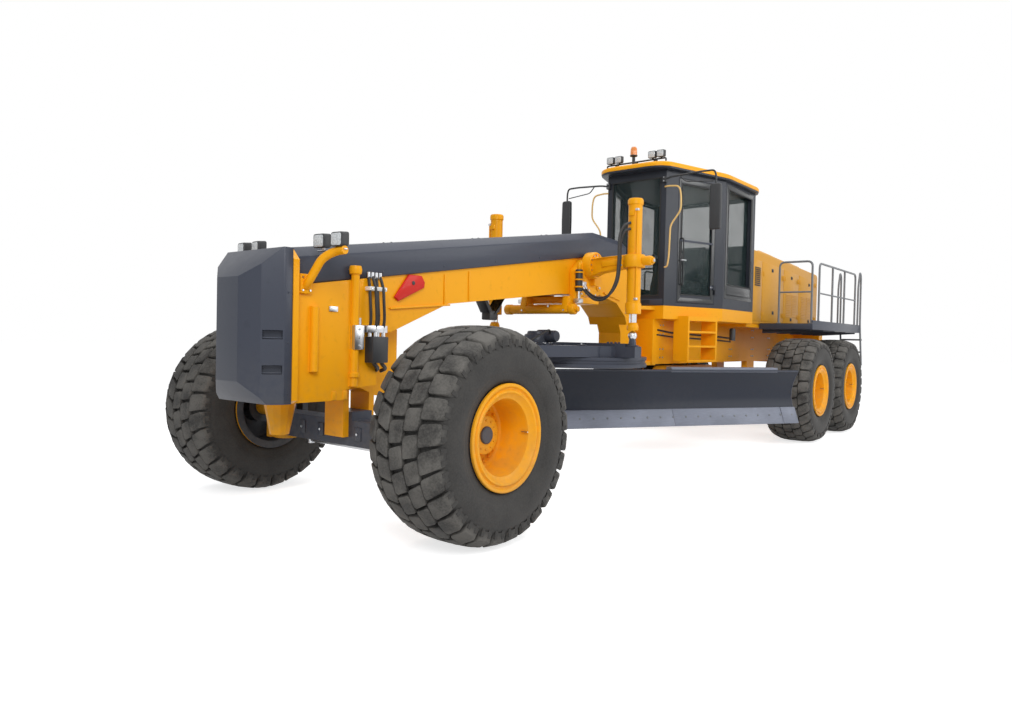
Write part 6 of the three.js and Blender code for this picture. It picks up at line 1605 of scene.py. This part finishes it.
class GRADER_OT_hood(bpy.types.Operator):
    """Builds the engine hood with its doors, vents, latches and grab rails"""
    bl_idname = "grader.hood"
    bl_label = "Engine hood"

    def execute(self, context):
        hood = Shape("hood_shell")
        for b0, b1 in ((9.02, 9.52), (9.545, 10.82), (10.845, 11.84), (11.865, 13.16)):
            hood.slab(beside(HOOD_HALF - 0.004, (b0, 2.27), (b1, 2.27), (b1, hood_edge(b1)), (b0, hood_edge(b0))),
                X * 0.014, "hood", 0.006, 2)
        for k in range(10):
            z = 2.96 + 0.038 * k
            hood.slab(abreast(9.12, (HOOD_HALF + 0.008, z), (HOOD_HALF + 0.024, z - 0.004),
                (HOOD_HALF + 0.010, z + 0.022)), Y * 0.30, "seal", 0.001, 1)
        for b in (10.98, 10.98 + 0.40, 12.02, 12.02 + 0.40):
            for k in range(14):
                z = 2.42 + 0.036 * k
                hood.slab(abreast(b, (HOOD_HALF + 0.008, z), (HOOD_HALF + 0.022, z - 0.004),
                    (HOOD_HALF + 0.010, z + 0.018)), Y * 0.34, "hood", 0.001, 1)
        for b, z in ((10.11, 3.32), (10.18, 2.46), (11.34, 3.26), (11.34, 2.36), (12.60, 3.20), (12.60, 2.36)):
            hood.block(at(HOOD_HALF + 0.006, b - 0.05, z - 0.035), at(HOOD_HALF + 0.018, b + 0.05, z + 0.035),
                "plastic", 0.006)
            hood.block(at(HOOD_HALF + 0.014, b - 0.032, z - 0.016), at(HOOD_HALF + 0.026, b + 0.032, z + 0.010),
                "seal", 0.005)
        for b in (9.60, 10.76, 10.90, 11.78, 11.92, 13.08):
            for z in (2.42, 3.22):
                hood.rod(at(HOOD_HALF + 0.013, b, z - 0.05), at(HOOD_HALF + 0.013, b, z + 0.05), 0.012, "hood",
                    sides=12, soft=0.003)
        for b0, b1, z0, z1 in ((9.79, 10.73, 3.63, 3.59), (11.66, 12.51, 3.555, 3.515)):
            hood.pipe(beside(0.70, (b0, z0 - 0.06), (b0 + 0.02, z0 + 0.085), (b1 - 0.02, z1 + 0.085),
                (b1, z1 - 0.06)), 0.016, "pale", 0.05)
        hood.mirrored()
        shell = [(HOOD_START, 2.20), (HOOD_END, 2.20), (HOOD_END, 3.42), (13.23, 3.488), (9.70, 3.648),
            (HOOD_START, 3.648)]
        hood.slab([at(-HOOD_HALF, b, z) for b, z in shell], X * 2 * HOOD_HALF, "hood", 0.036, 4)
        # Radiator grille in the rear face
        back = HOOD_END - 0.06
        for x0, x1 in ((-0.80, -0.02), (0.02, 0.80)):
            hood.block(at(x0, back + 0.030, 2.32), at(x1, back + 0.066, 3.34), "slate", 0.012)
            for k in range(24):
                z = 2.37 + 0.040 * k
                hood.slab(beside(x0 + 0.04, (back + 0.064, z), (back + 0.084, z - 0.006), (back + 0.066, z + 0.020)),
                    X * (x1 - x0 - 0.08), "seal", 0.001, 1)
        for x in (-0.30, 0.30):
            hood.block(at(x - 0.18, 9.85, 3.63), at(x + 0.18, 10.35, 3.648), "hood", 0.008)
        hood.done("rear", "yellow_paint", "engine_hood", angle=42)
        return {"FINISHED"}


class GRADER_OT_platforms(bpy.types.Operator):
    """Builds the walkways beside the hood, with their handrails and ladders"""
    bl_idname = "grader.platforms"
    bl_label = "Platforms and rails"

    def execute(self, context):
        deck = 2.230
        walk = Shape("left_walkway")
        walk.block(at(0.916, 9.405, 2.112), at(1.929, 12.995, deck - 0.012), "slate", 0.010, 3)
        for b0, b1 in ((9.41, 11.18), (11.20, 12.99)):
            walk.block(at(0.925, b0, deck - 0.016), at(1.925, b1, deck - 0.001), "grip", 0.004)
        walk.block(at(1.905, 9.41, 2.118), at(1.9295, 12.99, deck + 0.060), "slate", 0.006)
        for b in (9.55, 10.40, 11.25, 12.10, 12.90):
            walk.slab(abreast(b, (0.93, 2.115), (1.85, 2.115), (1.85, 2.085), (1.10, 2.035), (0.93, 2.035)),
                Y * 0.012, "slate", 0.003)
        rail = context.scene.grader_trim.rail
        top, mid, foot = 3.430 - rail, 2.830, deck - 0.004
        walk.pipe(abreast(9.44, (1.28, foot), (1.28, top), (1.89, top), (1.89, foot)), rail, "rail", 0.10, 3)
        walk.pipe(abreast(9.44, (1.28, mid), (1.89, mid)), 0.016, "rail", 0)
        walk.pipe(beside(1.89, (9.90, foot), (9.90, top), (12.65, top), (12.65, foot)), rail, "rail", 0.12, 3)
        walk.pipe(beside(1.89, (9.90, mid), (12.65, mid)), 0.016, "rail", 0)
        for b in (10.82, 11.74):
            walk.pipe(beside(1.89, (b, foot), (b, top)), rail, "rail", 0)
        for x, b in ((1.28, 9.44), (1.89, 9.44), (1.89, 9.90), (1.89, 10.82), (1.89, 11.74), (1.89, 12.65)):
            walk.block(at(x - 0.036, b - 0.036, deck - 0.004), at(x + 0.036, b + 0.036, deck + 0.012), "rail", 0.004)
        for lean in (0.0, 0.42):
            x0, x1 = 1.915 - lean, 1.975 - lean
            walk.pipe(route((x0, 12.82, deck - 0.004), (x0, 12.82, 3.16), (x0, 12.94, 3.488), (x0, 13.04, 3.40),
                (x0 + 0.01, 13.02, 2.30), (x1 - 0.01, 13.06, 1.375)), rail, "rail", 0.12, 3)
        for z in (1.38, 1.66, 1.94):
            walk.block(at(1.54, 13.032, z), at(1.95, 13.138, z + 0.035), "grip", 0.006)
        walk.block(at(1.53, 12.96, 2.12), at(1.93, 13.10, 2.228), "slate", 0.008)
        left = walk.done("rear", "slate_paint", "left_platform")
        flipped(left, "right_walkway", "rear", "slate_paint", "right_platform")
        return {"FINISHED"}


class GRADER_OT_rear(bpy.types.Operator):
    """Adds tail lamps, bolts, hoses, covers and plates to the rear frame and tandems"""
    bl_idname = "grader.rear"
    bl_label = "Rear frame fittings"

    def execute(self, context):
        rear = Shape("rear_fittings")
        low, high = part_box("rear_frame")
        end = high.y - 0.002
        rear.block((0.50, end - 0.05, 1.62), (0.74, end - 0.002, 1.78), "plastic", 0.010)
        for k, key in enumerate(("red", "red", "amber")):
            x = 0.555 + 0.065 * k
            rear.rod((x, end - 0.010, 1.70), (x, end, 1.70), 0.028, key, sides=24, soft=0.003)
        for b in (6.20, 7.20, 8.20, 9.20, 10.40, 11.40, 12.60):
            for z in (1.56, 1.70, 1.95, 2.10):
                rear.bolts(beside(0.400, (b, z), (b + 0.10, z)), X, 0.016, 0.014)
        rear.pipe(route((0.405, 6.10, 2.02), (0.420, 6.60, 1.98), (0.420, 8.6, 1.94), (0.405, 9.2, 1.92)), 0.016,
            "hose", 0.10)
        rear.pipe(route((0.405, 6.08, 1.94), (0.424, 6.62, 1.91), (0.424, 8.7, 1.87), (0.405, 9.25, 1.85)), 0.013,
            "hose", 0.10)
        rear.mirrored()
        rear.done("rear", "slate_paint")
        cover = Shape("tandem_fittings")
        for b in (9.35, 11.49):
            hub = at(1.25, b, middle("mid_left_tyre").z)
            cover.turned([(0.20, -0.01), (0.298, -0.01), (0.298, 0.010), (0.288, 0.016), (0.20, 0.016)], hub, X,
                "slate", 48)
            cover.bolts(ring_about(hub + X * 0.010, X, 0.268, 16), X, 0.012, 0.010)
        for b in (10.12, 10.72):
            cover.block(at(1.244, b - 0.16, 0.84), at(1.258, b + 0.16, 1.10), "slate", 0.005)
            cover.bolts([at(1.258, b + s * 0.13, z) for s in (-1, 0, 1) for z in (0.87, 1.07)], X, 0.010, 0.008)
        cover.mirrored()
        cover.done("rear", "slate_paint")
        return {"FINISHED"}


KEPT = {"front_frame": "yellow", "front_axle": "slate", "left_knuckle": "yellow", "right_knuckle": "yellow",
        "tie_rod": "steel", "rear_frame": "yellow", "rear_axle": "yellow", "left_tandem_case": "yellow",
        "right_tandem_case": "yellow", "cab_shell": "cab", "left_door": "cab", "right_door": "cab",
        "left_door_glass": "glass", "right_door_glass": "glass", "windscreen": "glass", "rear_glass": "glass",
        "drawbar": "slate", "blade_carrier": "slate", "engine_block": "grey"}


class GRADER_OT_finishes(bpy.types.Operator):
    """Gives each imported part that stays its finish"""
    bl_idname = "grader.finishes"
    bl_label = "Finishes of kept parts"

    def execute(self, context):
        for node, key in KEPT.items():
            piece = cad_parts[node]
            for slot in piece.material_slots:
                slot.material = finish(key)
        return {"FINISHED"}


CAMERA_ANGLES = (38.82, 1.11, 1.23)  # turn about the machine, dip and roll, in degrees
CAMERA_PLACE = (6.02, -10.915, 1.84)
FLOOR_HALF = 90


def seen_white(nodes):
    """1 for rays from the camera, a gloss or a pane, so that these show the white backdrop"""
    seen = nodes.add("ShaderNodeLightPath", output="Is Camera Ray")
    for kind in ("Is Glossy Ray", "Is Transmission Ray"):
        seen = nodes.add("ShaderNodeMath", {"operation": "MAXIMUM"},
            {0: seen, 1: nodes.add("ShaderNodeLightPath", output=kind)})
    return seen


class GRADER_OT_studio(bpy.types.Operator):
    """Sets the white floor, the soft lamps and the camera"""
    bl_idname = "grader.studio"
    bl_label = "Studio"

    def execute(self, context):
        scene, sizes = context.scene, context.scene.grader_studio
        turn, dip, roll = (math.radians(angle) for angle in CAMERA_ANGLES)
        back = Vector((math.sin(turn) * math.cos(dip), -math.cos(turn) * math.cos(dip), math.sin(dip)))
        right0 = Vector((math.cos(turn), math.sin(turn), 0))
        up0 = back.cross(right0)
        right = right0 * math.cos(roll) + up0 * math.sin(roll)
        up = up0 * math.cos(roll) - right0 * math.sin(roll)
        lens = bpy.data.cameras.new("Camera")
        lens.sensor_width, lens.lens, lens.clip_end = 36, sizes.lens, 400
        camera = bpy.data.objects.new("Camera", lens)
        camera.matrix_world = Matrix.Translation(CAMERA_PLACE) @ Matrix((right, up, back)).transposed().to_4x4()
        scene.collection.objects.link(camera)
        scene.camera = camera

        shape = bpy.data.meshes.new("studio_floor")
        half = FLOOR_HALF
        shape.from_pydata([(-half, -half, 0), (half, -half, 0), (half, half, 0), (-half, half, 0)], [],
            [(0, 1, 2, 3)])
        floor = bpy.data.objects.new("studio_floor", shape)
        scene.collection.objects.link(floor)
        white = bpy.data.materials.new("floor_white")
        nodes = Nodes(white)
        plain = nodes.add("ShaderNodeBsdfDiffuse", None, {"Color": (0.80, 0.80, 0.80)})
        glow = nodes.add("ShaderNodeEmission", None, {"Color": (1, 1, 1),
            "Strength": seen_white(nodes) * sizes.floor_glow})
        nodes.plug(nodes.tree.nodes["Material Output"].inputs["Surface"],
            nodes.add("ShaderNodeAddShader", None, {0: plain, 1: glow}))
        shape.materials.append(white)

        scene.world = bpy.data.worlds.new("studio_world")
        nodes = Nodes(scene.world)
        fill = nodes.add("ShaderNodeBackground", None, {"Color": (0.93, 0.96, 1.0), "Strength": sizes.fill})
        pure = nodes.add("ShaderNodeBackground", None, {"Color": (1, 1, 1), "Strength": 1.0})
        nodes.plug(nodes.tree.nodes["World Output"].inputs["Surface"],
            nodes.add("ShaderNodeMixShader", None, {0: seen_white(nodes), 1: fill, 2: pure}))

        for name, place, size, power in (("key", (9, -13, 9), 7, sizes.key), ("top", (0, 0, 14), 14, sizes.top),
                                         ("side", (12, 4, 7), 8, sizes.key * 0.6)):
            lamp = bpy.data.lights.new(name, "AREA")
            lamp.shape, lamp.size, lamp.energy = "DISK", size, power
            held = bpy.data.objects.new(name, lamp)
            held.location = place
            held.rotation_euler = (Vector(place) - Vector((0, 0, 1.5))).to_track_quat("Z", "Y").to_euler()
            scene.collection.objects.link(held)
        scene.view_settings.view_transform = "Standard"
        scene.view_settings.look = "None"
        return {"FINISHED"}


# ---------------------------------------------------------------- add-on
GROUPS = (GraderColours, GraderWheels, GraderBlade, GraderTrim, GraderStudio)
STEPS = (GRADER_OT_tyres, GRADER_OT_rims, GRADER_OT_front_axle, GRADER_OT_nose, GRADER_OT_front_frame,
    GRADER_OT_beam_cover, GRADER_OT_work_lights, GRADER_OT_hoses, GRADER_OT_lift_cylinders, GRADER_OT_saddle,
    GRADER_OT_circle, GRADER_OT_blade, GRADER_OT_cab, GRADER_OT_roof, GRADER_OT_mirrors, GRADER_OT_seat,
    GRADER_OT_console, GRADER_OT_hood, GRADER_OT_platforms, GRADER_OT_rear, GRADER_OT_finishes, GRADER_OT_studio)


class GRADER_PT_steps(bpy.types.Panel):
    """Lists the building steps and the values a user may change"""
    bl_idname = "GRADER_PT_steps"
    bl_label = "Road grading machine"
    bl_space_type = "VIEW_3D"
    bl_region_type = "UI"
    bl_category = "Grader"

    def draw(self, context):
        for group in GROUPS:
            values = getattr(context.scene, group_name(group))
            for name in group.__annotations__:
                self.layout.prop(values, name)
        for step in STEPS:
            self.layout.operator(step.bl_idname)


def group_name(group):
    return "grader_" + group.__name__[len("Grader"):].lower()


def register():
    for kind in (*GROUPS, *STEPS, GRADER_PT_steps):
        bpy.utils.register_class(kind)
    for group in GROUPS:
        setattr(bpy.types.Scene, group_name(group), bpy.props.PointerProperty(type=group))


def unregister():
    for group in GROUPS:
        delattr(bpy.types.Scene, group_name(group))
    for kind in reversed((*GROUPS, *STEPS, GRADER_PT_steps)):
        bpy.utils.unregister_class(kind)


def main():
    register()
    for step in STEPS:
        group, name = step.bl_idname.split(".")
        done = getattr(getattr(bpy.ops, group), name)()
        if done != {"FINISHED"}:
            raise RuntimeError(f"{step.bl_label} did not finish")


if __name__ == "__main__":
    main()
